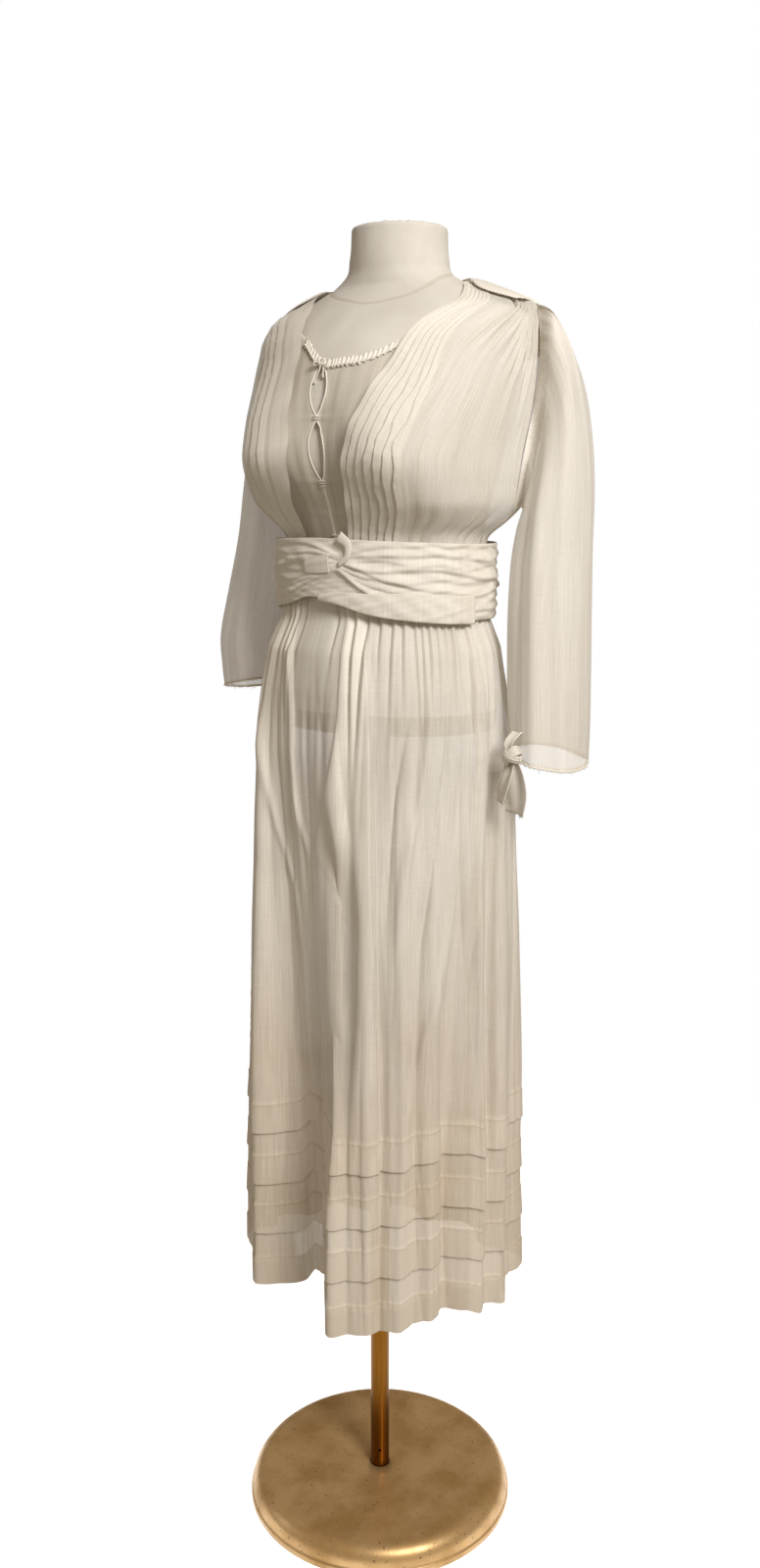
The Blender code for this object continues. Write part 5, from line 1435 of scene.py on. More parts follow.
@dataclass
class Sleeve:
    """A wide sleeve, its rolled raw hem, and the knotted tie at its edge."""

    side: Side
    rings: tuple[Ring, ...]
    tie_place: float
    tails: tuple[Tail, ...]
    folds: tuple[tuple[float, float, float], ...]  # place round, reach and half width as a share
    columns: int = 150
    rows: int = 110
    lap: float = CLOTH + SEAM + 0.0010
    settles: int = 5
    half_depth: float = 0.024
    length: float = 0.52
    girth: float = 0.33

    def coarse(self) -> Array:
        """The middle of the sleeve's wall, ring by ring, as in the CAD, on the left side."""
        shares = np.linspace(0, ARMHOLE_SHARE, ARMHOLE_POINTS)
        front, back = side_edge(ARMHOLE_FRONT)(shares), side_edge(ARMHOLE_BACK)(shares[::-1])
        turn, height = np.concatenate([front[0], back[0]]), np.concatenate([front[1], back[1]])
        edge = bodice_surface(turn, height)
        first = edge + normals(bodice_surface, turn, height) * self.lap
        count = len(turn)
        around = np.arange(count) / count * 2 * np.pi + np.pi / count
        oval = edge - edge.mean(axis=0)
        first_up = (oval[0] - oval[ARMHOLE_POINTS - 1]) / 2
        aside = np.array([0, self.half_depth, 0])
        odd = oval - (np.cos(around)[:, None] * first_up - np.sin(around)[:, None] * aside)
        rings = [first]
        for k, ring in enumerate(self.rings):
            outer = np.array([ring.outer_x, ring.y, ring.outer_z])
            inner = np.array([ring.inner_x, ring.y, ring.inner_z])
            depth = np.array([0, ring.half_depth, 0])
            left_over = odd * fade(np.array((k + 1) / self.settles), 0, 1)
            middle = (outer + inner) / 2
            rings.append(
                middle + np.cos(around)[:, None] * (outer - inner) / 2 - np.sin(around)[:, None] * depth + left_over
            )
        return np.array(rings)

    def surface(self) -> tuple[Array, Array, Array, Array]:
        """The sleeve's fine grid with its folds, on the left side.

        Formula: Catmull-Rom spans through the coarse rings both ways, moved along the
        grid's normals by soft folds that grow down the sleeve and by an unevenness.

        Returns:
            Points, shares round, shares down, and the outward normals.
        """
        coarse = self.coarse()
        grid = resample(coarse, np.linspace(0, len(coarse) - 1, self.rows), False)
        grid = resample(grid.transpose(1, 0, 2), np.arange(self.columns) / self.columns * coarse.shape[1], True)
        grid = grid.transpose(1, 0, 2)
        share, down = np.meshgrid(np.arange(self.columns) / self.columns, np.linspace(0, 1, self.rows))
        ahead = np.roll(grid, -1, axis=1) - np.roll(grid, 1, axis=1)
        out = np.cross(np.gradient(grid, axis=0), ahead)
        middle = grid.mean(axis=1, keepdims=True)
        out = out / np.linalg.norm(out, axis=-1, keepdims=True)
        out = out * np.sign(((grid - middle) * out).sum(-1, keepdims=True))
        lift = np.zeros(share.shape)
        for at, reach, half in self.folds:
            line = at + 0.02 * np.sin(3 * down + at * 9)
            away = np.mod(share - line + 0.5, 1) - 0.5
            lift += reach * bell(away, half) * (0.25 + 0.75 * rise(down, 0.05, 0.6))
        y = down * self.length
        seed = 70 + self.side.value
        ring = 2 * np.pi * share
        lift += 0.0010 * wander(0.05 * np.cos(ring), 0.05 * np.sin(ring) + 0.03 * y, 0.045, 0.045, seed)
        lift += 0.00012 * wander(0.05 * np.cos(ring), 0.05 * np.sin(ring) + 0.05 * y, 0.010, 0.012, seed + 5)
        lift += 0.0020 * np.exp(-(((share - 0.10) / 0.08) ** 2) - ((down - 0.10) / 0.07) ** 2)
        shows = rise(down, 0.0, 0.05)
        head = 0.0005 * np.cos(ring * 26 + 3 * np.sin(ring * 3))
        head = head * fade(np.minimum(share, 1 - share), 0.10, 0.22) * fade(down, 0.01, 0.16)
        return grid + out * ((lift * shows + head * rise(down, 0.0, 0.03))[..., None]), share, down, out

    def knot(self, edge: Array) -> tuple[list[Patch], list[Patch]]:
        """The tie: two crossed bands, the cloth drawn in above them, and two flaring ends.

        Args:
            edge: points of the sleeve's hem, on the left side.

        Returns:
            The cloth bands, and the round cords along their edges.
        """
        place = edge[int(round(self.tie_place * len(edge)))]
        middle = edge.mean(axis=0)
        away = (place - middle) * (1, 1, 0)
        away = away / np.linalg.norm(away)
        level = np.array([-away[1], away[0], 0.0])
        centre = place + away * 0.0100 + (0, 0, 0.006)
        up = np.array([0.0, 0.0, 1.0])
        swing = np.linspace(0, 2 * np.pi, 30)
        bands, cords = [], []
        for tilt, big, small, width in ((0.75, 0.0120, 0.0070, 0.0120), (-0.35, 0.0100, 0.0080, 0.0085)):
            long_way = level * math.cos(tilt) + up * math.sin(tilt)
            ring = centre + np.cos(swing)[:, None] * long_way * big + np.sin(swing)[:, None] * away * small
            wide_way = -level * math.sin(tilt) + up * math.cos(tilt)
            aside = np.broadcast_to(wide_way, ring.shape)
            band = strip(ring, aside, np.full(30, width), 0.0016, 15)
            pressed = 0.0008 * np.cos(np.linspace(-1, 1, 15) * 9 + tilt)[None, :]
            pressed = pressed * (1 + 0.5 * np.cos(swing * 2))[:, None]
            band.points = band.points + (ring - centre)[:, None] / big * pressed[..., None]
            bands.append(band)
            cords.append(tube(ring + aside * width / 2, aside, 0.0008, 6))
        share = np.linspace(0, 1, 20)
        start = place + away * 0.0012 + up * 0.034
        bowed = (away * 0.0075 - level * 0.0040) * np.sin(np.pi * share)[:, None]
        loop = start + (centre - start) * share[:, None] + bowed
        aside = np.broadcast_to(level, loop.shape)
        bands.append(strip(loop, aside, through((0, 0.5, 1), (0.016, 0.013, 0.008), share), 0.0018, 11))
        cords.append(tube(loop + aside * 0.0062, aside, 0.0007, 5))
        share = np.linspace(0, 1, 26)
        for k, tail in enumerate(self.tails):
            lean = np.array([tail.lean_x, tail.lean_y, 0.0])
            line = centre + lean * share[:, None] - up * (0.004 + (tail.length - 0.004) * share)[:, None]
            line = line + away * (0.0035 * np.sin(np.pi * share) * (1 if k else -0.4))[:, None]
            turn = 0.5 * share - 0.25 + 0.3 * k
            aside = level * np.cos(turn)[:, None] + away * np.sin(turn)[:, None]
            widths = tail.width * through((0, 0.3, 0.7, 1), (0.32, 0.72, 1.0, 0.86), share)
            band = strip(line, aside, widths, 0.0030, 15)
            wave = 0.0012 * np.sin(np.linspace(-1, 1, 15) * 5.5 + k)[None, :] * np.sin(np.pi * share * 0.9)[:, None]
            band.points = band.points + np.cross(aside, -up)[:, None] * wave[..., None]
            band.layers = np.broadcast_to(0.35 + 0.6 * rise(share, 0.86, 0.9)[:, None], wave.shape)
            bands.append(band)
            cords.append(tube(band.points[:, 0], np.broadcast_to(away, line.shape), 0.0007, 5))
            cords.append(tube(band.points[:, -1], np.broadcast_to(away, line.shape), 0.0007, 5))
            foot = band.points[-1]
            cords += frayed(foot, np.broadcast_to(-up, foot.shape), 70, 0.0030, 75 + k)
        return bands, cords

    def build(self) -> None:
        """Make the sleeve, its hem and its tie."""
        points, share, down, out = self.surface()
        armhole = bell(down * self.length, 0.003)
        inner_seam = bell((share - 0.5) * self.girth, 0.002) * 0.7
        hem = np.maximum(rise(down, 0.985, 0.992), 0.8 * fade(down, 0.05, 0.30))
        wide = np.broadcast_to(np.linspace(0, self.girth, self.columns + 1), (self.rows, self.columns + 1))
        deep = np.broadcast_to(down[:, :1] * self.length, wide.shape)
        patch = Patch(
            points[:, ::-1], wide, deep, np.maximum(np.maximum(armhole, inner_seam), hem)[:, ::-1],
            (armhole * 0.7)[:, ::-1], True,
        )
        word = self.side.word
        sleeve = add_piece("sleeve_cloth_" + word, [patch.flipped(self.side)], VOILE)
        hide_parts("sleeve_" + word)
        edge = points[-1]
        seed = 80 + self.side.value
        step = np.arange(self.columns) * self.girth / self.columns
        rolled = 0.0011 * (1 + 0.35 * waver(step, 0.008, seed))
        roll = tube(edge, out[-1], np.append(rolled, rolled[0]), 8, closed=True)
        way = np.broadcast_to(np.array([0.0, 0.0, -1.0]), edge.shape)
        hem_parts = [roll] + frayed(edge, way, 260, 0.0032, seed + 2)
        roll_piece = add_piece(
            "sleeve_hem_" + word, [part.flipped(self.side) for part in hem_parts], VOILE
        )
        bands, cords = self.knot(edge)
        tie = add_piece("cuff_bow_" + word, [band.flipped(self.side) for band in bands], VOILE, WALL)
        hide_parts("cuff_tie_" + word)
        add_piece("cuff_edge_" + word, [cord.flipped(self.side) for cord in cords], VOILE)


# ---- the sash


@dataclass
class Sash:
    """The folded sash, drawn in by a tack at the middle front, and its crossing end."""

    half_width: float = 0.1364
    side_y: float = 0.014
    front_y: float = -0.1004
    back_y: float = 0.1137
    wall: float = 0.0024
    top: tuple[Bend, ...] = (
        Bend(-180, 1.296), Bend(-90, 1.297), Bend(-40, 1.299), Bend(-8, 1.301),
        Bend(4, 1.300), Bend(40, 1.297), Bend(90, 1.294), Bend(180, 1.296),
    )
    bottom: tuple[Bend, ...] = (
        Bend(-180, 1.208), Bend(-70, 1.212), Bend(-30, 1.224), Bend(-14, 1.233),
        Bend(2, 1.230), Bend(18, 1.219), Bend(45, 1.210), Bend(90, 1.206), Bend(180, 1.208),
    )
    folds: tuple[float, ...] = (0.03, 0.17, 0.28, 0.40, 0.50, 0.61, 0.72, 0.84, 0.95)
    fold_out: tuple[float, ...] = (0.0026, 0.0036, 0.0024, 0.0042, 0.0026, 0.0038, 0.0028, 0.0040, 0.0020)
    tack_turn: float = 3.0
    tack_share: float = 0.36
    columns: int = 420
    rows: int = 56

    def surface(self, turn: Array, height: Array) -> Array:
        """The upright surface that the sash's inside follows."""
        turn, height = np.broadcast_arrays(np.asarray(turn, float), np.asarray(height, float))
        x, y = egg(self.half_width, self.side_y, self.front_y, self.back_y, turn)
        return np.stack([x, y, height], -1)

    def band(self) -> Patch:
        """The folded band all round.

        Formula: each fold is a ridge that rises slowly from above and drops at once
        below. Near the tack, all the folds' lines are drawn towards its place.
        """
        turns = np.arange(self.columns) / self.columns * 2 * np.pi - np.pi
        shares = np.linspace(0, 1, self.rows)
        top, bottom = round_value(self.top, turns), round_value(self.bottom, turns)
        turn, share = np.meshgrid(turns, shares)
        height = top + (bottom - top) * share
        x = turn * MEAN_RADIUS
        degrees = np.degrees(turn)
        near = np.exp(-(np.abs(degrees - self.tack_turn) / 15.0) ** 1.3)
        lift = np.full(turn.shape, self.wall + 0.0006)
        layers = np.full(turn.shape, 0.75)
        for k, (at, out) in enumerate(zip(self.folds, self.fold_out)):
            line = at + (self.tack_share - at) * near * 0.72
            line = line + 0.045 * (1 - near) * waver(x, 0.13, 90 + k) * math.sin(math.pi * at)
            gap = 0.080 * (1 - 0.4 * near)
            away = (share - line) / gap
            ridge = np.where(away < 0, bell(away, 1.0), bell(away, 0.38))
            lift += out * (1 - 0.25 * near) * ridge * (0.8 + 0.2 * waver(x, 0.05, 95 + k))
        lift += 0.0004 * wander(x, height, 0.035, 0.010, 99)
        dimple = np.exp(-(((degrees - self.tack_turn) / 4.0) ** 2) - (((share - self.tack_share) / 0.12) ** 2))
        lift -= 0.0022 * dimple
        edge = bell(np.minimum(share, 1 - share), 0.02)
        points = moved_out(self.surface, turn, height, lift)
        girth = np.linspace(-np.pi, np.pi, self.columns + 1) * MEAN_RADIUS
        wide = np.broadcast_to(girth, (self.rows, self.columns + 1))
        deep = np.broadcast_to(shares[:, None] * 0.1, wide.shape)
        return Patch(points, wide, deep, np.maximum(layers, edge), edge * 0.3, True)

    def lapped(self) -> list[Patch]:
        """The smooth end over the left half, the tab, and the pointed end above it."""
        face = self.wall + 0.0034 + SEAM + 0.0002
        turns = np.radians(np.linspace(-7, 76, 130))
        across = np.linspace(0, 1, 130)
        down = np.linspace(0, 1, 18)
        bottom = round_value(self.bottom, turns) - 0.0035
        depth = 0.007 + 0.026 * np.sin(np.pi / 2 * np.clip(across / 0.7, 0, 1))
        height = bottom + depth * (1 - down[:, None])
        turn = np.broadcast_to(turns, height.shape)
        x = turn * MEAN_RADIUS
        belly = 0.0013 * np.sin(np.pi * down)[:, None] ** 0.6 + 0.0004 * wander(x, height, 0.03, 0.012, 101)
        edge = bell(np.minimum(down, 1 - down)[:, None] * depth, 0.0022) * np.ones(height.shape)
        settled = fade(across, 0.86, 1.0)
        wrap = Patch(
            moved_out(self.surface, turn, height, face + CLOTH * 0.5 + belly * settled + 0.0006),
            x, down[:, None] * depth, 0.9, edge * 0.4,
        )
        turns = np.radians(np.linspace(-16, -1, 26))
        across = np.linspace(0, 1, 26)
        down = np.linspace(0, 1, 22)
        top = 1.279 + 0.004 * across - 0.004 * (1 - across) ** 3
        low = 1.258 + 0.004 * across + 0.003 * (1 - across) ** 3
        height = top + (low - top) * down[:, None]
        turn = np.broadcast_to(turns, height.shape)
        belly = 0.0008 * bell(down[:, None] - 0.33, 0.2) - 0.0006 * rise(down, 0.7, 1.0)[:, None]
        edge = np.maximum(bell(np.minimum(down, 1 - down)[:, None], 0.06), bell(1 - across, 0.06))
        tab = Patch(
            moved_out(self.surface, turn, height, face + 0.0012 + belly * np.ones(26)),
            turn * MEAN_RADIUS, down[:, None] * 0.026 * np.ones(26), 0.75, edge * 0.6,
        )
        return [wrap, tab]

    def point(self) -> list[Patch]:
        """The sash's narrow turned end above the tack, with the thread that holds it.

        Formula: a strip from the top edge down to the tack, narrowing to its foot.
        """
        share = np.linspace(0, 1, 24)
        turn = np.radians(through((0, 0.35, 0.7, 1), (4.5, 9.5, 9.0, 4.5), share))
        height = through((0, 0.35, 0.7, 1), (1.3035, 1.2930, 1.2800, 1.2700), share)
        face = self.wall + 0.0052 + 0.0008 * np.sin(np.pi * share)
        line = moved_out(self.surface, turn, height, face)
        out = normals(self.surface, turn, height)
        ahead = np.gradient(line, axis=0)
        aside = np.cross(ahead, out)
        aside = aside / np.linalg.norm(aside, axis=1, keepdims=True)
        widths = through((0, 0.3, 1), (0.0135, 0.0100, 0.0030), share)
        return [strip(line, -aside, widths, -0.0012, 9), tube(line + aside * 0.003, out, 0.0009, 6)]

    def build(self) -> None:
        """Make the sash's pieces."""
        band = add_piece("sash_band", [self.band()], VOILE, WALL * 2)
        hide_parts("sash")
        wrap, tab = self.lapped()
        lap = add_piece("sash_end", [wrap], VOILE, WALL * 2)
        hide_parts("sash_wrap")
        fold = add_piece("sash_fold", [tab], VOILE, WALL * 2)
        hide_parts("sash_tab")
        strip_piece, cord = self.point()
        point = add_piece("sash_point", [strip_piece], VOILE, WALL)
        add_piece("sash_thread", [cord], VOILE)


# ---- the skirt


class Hang(NamedTuple):
    """A ridge or a hollow of the skirt as it stands at the hem."""

    turn: float
    out: float
    rise: float


@dataclass
class Skirt:
    """The gathered skirt with three tucks above its hem, in two panels."""

    sections: tuple[Section, ...] = (
        Section(HEM, 0.1900, 0.000, -0.1580, 0.1640),
        Section(0.6200, 0.1850, 0.000, -0.1540, 0.1610),
        Section(0.8000, 0.1800, 0.002, -0.1490, 0.1580),
        Section(0.9500, 0.1740, 0.004, -0.1430, 0.1530),
        Section(1.0500, 0.1680, 0.006, -0.1350, 0.1470),
        Section(1.1250, 0.1570, 0.008, -0.1240, 0.1360),
        Section(1.1700, 0.1470, 0.010, -0.1140, 0.1260),
        Section(1.2050, 0.1320, 0.012, -0.0965, 0.1085),
        Section(1.2330, 0.1285, 0.012, -0.0915, 0.1040),
        Section(1.2600, 0.1285, 0.012, -0.0910, 0.1030),
    )
    fold_levels: tuple[tuple[float, float], ...] = (
        (HEM, 1.0), (0.62, 0.82), (0.80, 0.62), (0.95, 0.42), (1.05, 0.24), (1.125, 0.10), (1.17, 0.03),
        (1.205, 0.0), (1.26, 0.0),
    )
    hangs: tuple[Hang, ...] = (
        Hang(-178.0, -0.026, 0.000), Hang(-163.0, 0.006, -0.002), Hang(-147.0, -0.028, 0.002),
        Hang(-131.0, 0.005, 0.000), Hang(-117.0, -0.024, 0.004), Hang(-103.0, 0.004, 0.002),
        Hang(-94.0, -0.010, 0.004), Hang(-83.0, 0.012, 0.002), Hang(-62.0, -0.012, 0.004),
        Hang(-42.0, -0.006, -0.004), Hang(-37.5, -0.034, -0.002), Hang(-31.0, -0.060, 0.006),
        Hang(-22.0, -0.066, 0.028), Hang(-9.0, -0.060, 0.020), Hang(-1.0, -0.034, 0.002),
        Hang(7.5, 0.001, -0.008), Hang(14.0, -0.014, -0.007), Hang(20.0, -0.012, -0.006),
        Hang(28.0, -0.026, -0.003), Hang(36.0, -0.020, -0.002), Hang(44.0, -0.034, 0.002),
        Hang(51.0, -0.030, 0.006), Hang(65.0, -0.056, 0.004), Hang(74.0, -0.034, 0.005),
        Hang(83.0, -0.026, -0.004), Hang(89.0, -0.034, -0.002), Hang(97.0, -0.012, -0.003),
        Hang(112.0, -0.026, 0.000), Hang(135.0, 0.014, -0.003), Hang(151.0, -0.022, 0.000),
        Hang(167.0, 0.005, -0.002),
    )
    rise_levels: tuple[tuple[float, float], ...] = ((HEM, 1.0), (0.62, 0.8), (0.95, 0.0))
    side_seam: float = 74.0
    tucks: tuple[tuple[float, float], ...] = ((0.254, 0.215), (0.183, 0.143), (0.113, 0.073))
    tuck_out: float = 0.0021
    tuck_top_out: float = 0.0008
    band_top: float = 0.038
    band_out: float = 0.0015
    # Degrees where the front's gathers are drawn in, as the photograph shows them
    front_gathers: tuple[float, ...] = (
        -70.0, -65.5, -61.0, -56.0, -52.5, -47.5, -43.0, -38.0, -34.0, -30.5, -25.5, -19.5, 2.0, 10.5, 18.5, 23.5,
        31.0, 35.5, 41.0, 45.0, 49.0, 54.0, 58.5, 62.5, 67.0, 71.0,
    )
    long_folds: tuple[Crease, ...] = (
        Crease(((-62, 1.19), (-59, 0.98), (-60, 0.60), (-61, 0.36)), -0.0100, 0.0120),
        Crease(((-52, 1.19), (-48, 0.90), (-50, 0.45)), -0.0032, 0.0050, Profile.PLEAT),
        Crease(((-47, 1.16), (-40.5, 1.048), (-40, 0.876), (-40.5, 0.620), (-41, 0.36)), 0.0042, 0.0080),
        Crease(((-33, 1.19), (-31, 0.90), (-32, 0.60)), -0.0034, 0.0045, Profile.PLEAT),
        Crease(((-47, 1.19), (-42, 1.06), (-34, 0.95), (-25, 0.86), (-22, 0.76)), 0.0026, 0.0050),
        Crease(
            ((-27.5, 1.196), (-22, 1.128), (-21, 1.084), (-21, 1.016), (-18, 0.968), (-12, 0.924), (-11, 0.84)),
            0.0026, 0.0060, Profile.SOFT, 0.0, 0.1, 0.4, -0.3,
        ),
        Crease(
            ((9, 1.22), (10, 1.132), (8, 1.056), (3, 0.996), (-5, 0.936), (-8, 0.86)),
            0.0014, 0.0070, Profile.SOFT, 0.0, 0.1, 0.4, 0.3,
        ),
        Crease(
            ((-4, 1.02), (2, 0.96), (7, 0.908), (9, 0.836), (9, 0.764), (7, 0.692), (3, 0.60), (-3, 0.48)),
            -0.0250, 0.0180, Profile.SOFT, 0.0, 0.35, 0.4,
        ),
        Crease(((70.5, 1.21), (71, 1.12), (70, 1.02), (67, 0.92)), -0.0080, 0.0080, Profile.SOFT, 0.0, 0.1),
        Crease(
            ((17, 1.21), (21.5, 1.136), (23, 1.024), (24, 0.908), (24.5, 0.788), (25, 0.668), (25.5, 0.584),
             (26, 0.34)),
            0.0062, 0.0120, Profile.SOFT, 0.15, 0.12, 0.3, -0.78,
        ),
        Crease(
            ((42.5, 1.136), (36.5, 1.068), (32.5, 1.000), (30.5, 0.908), (29, 0.812)), -0.0056, 0.0042, Profile.PLEAT,
        ),
        Crease(
            ((50, 1.19), (49.5, 1.136), (47.5, 1.068), (44, 1.000), (39, 0.940), (35.5, 0.860), (33, 0.77)),
            0.0048, 0.0060,
        ),
        Crease(
            ((59, 1.18), (58.5, 1.136), (57.5, 1.056), (56, 1.020), (54, 0.980), (50, 0.904), (46, 0.832), (40, 0.72)),
            -0.0072, 0.0060, Profile.PLEAT,
        ),
        Crease(
            ((74, 1.19), (73, 1.132), (69.5, 1.020), (67, 0.960), (63, 0.864), (56, 0.780), (49.5, 0.720),
             (44.5, 0.668), (40, 0.600), (38, 0.45)),
            0.0046, 0.0095, Profile.SOFT, 0.2, 0.2, 0.4, 0.35,
        ),
        Crease(((80, 1.17), (80, 1.05), (77, 0.86), (72.5, 0.776), (70.5, 0.700)), -0.0045, 0.0050, Profile.PLEAT),
        Crease(((77, 1.05), (77, 0.896), (81, 0.584), (82, 0.36)), 0.0045, 0.0070),
        Crease(((84, 1.20), (86, 1.05), (86, 0.9), (88, 0.5)), -0.0090, 0.0095),
        Crease(((92, 1.15), (92, 0.892), (94, 0.576), (95, 0.36)), 0.0045, 0.0070),
        Crease(((104, 1.15), (103, 0.9), (104, 0.4)), -0.0050, 0.0060, Profile.PLEAT),
    )
    # Pleats folded flat in the gathering: the form shows between them, not through them
    laps: tuple[Lap, ...] = (
        Lap(
            ((-58, 1.24), (-58, 1.16), (-55, 1.068), (-54, 0.99), (-54, 0.80), (-54, 0.36)),
            ((-26, 1.24), (-23, 1.19), (-19, 1.128), (-18, 1.084), (-18.5, 1.016), (-16, 0.968), (-9.5, 0.924),
             (-11, 0.86), (-18, 0.79), (-27, 0.70), (-31, 0.616), (-33, 0.36)),
        ),
        Lap(
            ((6, 1.24), (7, 1.18), (7.5, 1.12), (6, 1.056), (1, 0.996), (-6, 0.940), (2, 0.90), (14, 0.85), (17, 0.78),
             (18, 0.64), (17, 0.50), (15, 0.36)),
            ((18, 1.24), (18.5, 1.200), (21.5, 1.136), (22.5, 1.068), (23, 0.964), (24, 0.848), (24.5, 0.668),
             (25, 0.36)),
        ),
        Lap(
            ((68, 1.24), (68.5, 1.188), (68.5, 1.132), (70.5, 1.088), (70, 1.020), (72, 0.936), (74.5, 0.836)),
            ((90, 1.24), (90, 0.836)), 0.25, 0.0008,
        ),
    )
    # A hollow between them, where single cloth shows the dark inside
    hollow: Lap = Lap(
        ((-9.5, 0.924), (-19, 0.80), (-29, 0.696), (-31, 0.616), (-31, 0.50)),
        ((-9.5, 0.924), (4, 0.880), (14, 0.840), (17, 0.78), (18, 0.64), (17, 0.50)),
    )
    lower_cover: float = 0.50  # below the form, where the folds stand behind each other
    hem_cover: float = 0.86
    front_columns: int = 320
    back_columns: int = 340
    cloth_radius: float = 0.16  # takes turns to metres of cloth
    seam_radius: float = 0.17  # takes turns to metres from a side seam
    degree: float = math.radians(1) * 0.15  # metres round the skirt in a degree
    blurred_degree: float = math.radians(1) * 0.05  # a third of that, for edges three times as wide

    def hung(self, turn: Array) -> tuple[Array, Array]:
        """How far the hem's folds stand out, and the hem's rise, at a turn in radians."""
        first, last = self.hangs[0], self.hangs[-1]
        ring = (last._replace(turn=last.turn - 360),) + self.hangs + (first._replace(turn=first.turn + 360),)
        places = [hang.turn for hang in ring]
        wrapped = np.degrees(np.mod(turn - math.radians(first.turn), 2 * np.pi)) + first.turn
        outs, rises = [hang.out for hang in ring], [hang.rise for hang in ring]
        return through(places, outs, wrapped), through(places, rises, wrapped)

    def surface(self, turn: Array, height: Array) -> Array:
        """The skirt's cloth without its gathers.

        Formula: an egg whose sizes run straight between levels, spread from its middle
        by the hem's folds times their share at the height, and lifted by the hem's rise.
        """
        turn, height = np.broadcast_arrays(np.asarray(turn, float), np.asarray(height, float))
        table = np.array(self.sections)
        cuts = [np.interp(height, table[:, 0], table[:, k]) for k in range(1, 5)]
        x, y = egg(*cuts, turn)
        out, lifted = self.hung(turn)
        share = np.interp(height, *np.array(self.fold_levels).T)
        length = np.hypot(x, y - cuts[1])
        spread = 1 + out * share / length
        rises = lifted * np.interp(height, *np.array(self.rise_levels).T)
        return np.stack([x * spread, cuts[1] + (y - cuts[1]) * spread, height + rises], -1)

    def levels(self) -> tuple[Array, Array, Array, Array]:
        """Heights down the skirt with each one's lift, doubling and stitching."""
        rows = [(z, 0.0, 0.0, 0.0) for z in np.linspace(WAIST_SEAM - SEAM, HEM + 0.262, 122)]
        sewn = [stitched for stitched, _ in self.tucks] + [self.band_top]
        for s in (HEM + stitched for stitched in sewn):
            # The stitched line on each tuck and on the hem band, drawn darker by the voile: thread, and painted shade
            rows += [(s + 0.0012, 0.0, 0.0, 0.0), (s + 0.0003, 0.0005, 0.6, 1.0), (s - 0.0005, 0.0009, 1.0, 1.0)]
        for (stitched, fold), below in zip(self.tucks, sewn[1:]):
            s, f = HEM + stitched, HEM + fold
            for t in np.linspace(0, 1, 7):
                z = s - 0.0028 + (f + 0.0016 - s + 0.0028) * t
                rows.append((z, self.tuck_top_out + (self.tuck_out - self.tuck_top_out) * t, 1.0, 0.0))
            rows += [(f + 0.0004, self.tuck_out, 1.0, 0.0), (f, self.tuck_out * 0.75, 1.0, 0.0)]
            rows += [(f - 0.0003, 0.0004, 0.4, 0.0), (f - 0.0012, 0.0, 0.0, 0.0)]
            rows += [(HEM + z, 0.0, 0.0, 0.0) for z in np.linspace(fold - 0.006, below + 0.006, 4)]
        rows += [(z, self.band_out, 1.0, 0.0) for z in np.linspace(HEM + self.band_top - 0.003, HEM, 8)]
        return tuple(np.array(sorted(rows, reverse=True)).T)

    def gathers(self, turns: Sequence[float], seed: int) -> list[Crease]:
        """Pleats drawn in at the waist at some turns, each with its own length and drift."""
        draw = np.random.default_rng(seed)
        creases = []
        for turn in turns:
            reach = draw.uniform(0.06, 0.22)
            drift = draw.normal(0, 1.6)
            deep = draw.uniform(0.7, 1.3)
            path = ((turn, 1.262), (turn + drift * 0.4, 1.262 - reach * 0.5), (turn + drift, 1.20 - reach))
            creases.append(Crease(path, -0.0054 * deep, 0.0032, Profile.PLEAT, 0.1, 0.0, 0.75))
            creases.append(
                Crease(tuple((t + 2.0, z) for t, z in path), 0.0016 * deep, 0.0030, Profile.SOFT, 0.15, 0.0, 0.8)
            )
        return creases

    def panel(self, start: float, end: float, columns: int, creases: Sequence[Crease], seed: int) -> Patch:
        """One panel between two side seams.

        Formula: the skirt's surface moved out along its normals by its creases, its
        tucks, soft slow folds, and a pucker along each row of stitching.

        Args:
            start: first side seam, in degrees.
            end: last side seam.
            columns: points across.
            creases: its gathers and long folds, in degrees and heights.
            seed: picks its unevenness.

        Returns:
            The panel's patch.
        """
        heights, tucks, doubled, sewn = self.levels()
        turns = np.radians(np.linspace(start, end, columns))
        turn, height = np.meshgrid(turns, heights)
        folds, cover = creased(creases, np.degrees(turn), height, self.degree)
        x = turn * self.cloth_radius
        down = WAIST_SEAM - height
        hip = rise(down, 0.05, 0.22)
        soft = 0.0016 * hip * rumpled(x, down, 0.085, 1.30, seed)
        soft = soft + 0.0006 * hip * wander(x, down, 0.015, 0.60, seed + 1)
        fine = 0.00007 * wander(x, down, 0.0060, 0.20, seed + 2)
        near_sewn = np.zeros(heights.shape)
        for at in [s for s, _ in self.tucks] + [self.band_top]:
            near_sewn += bell(heights - HEM - at, 0.008)
        pucker = 0.00035 * near_sewn[:, None] * wander(x, down, 0.008, 0.05, seed + 3)
        calm = fade(down, 0.72, 0.90) * 0.6 + 0.4
        inward = np.minimum(turn - turns[0], turns[-1] - turn) * self.seam_radius
        seam = bell(inward, 0.0035)
        ruck = 0.0003 * bell(inward, 0.007) * waver(down, 0.018, 124)
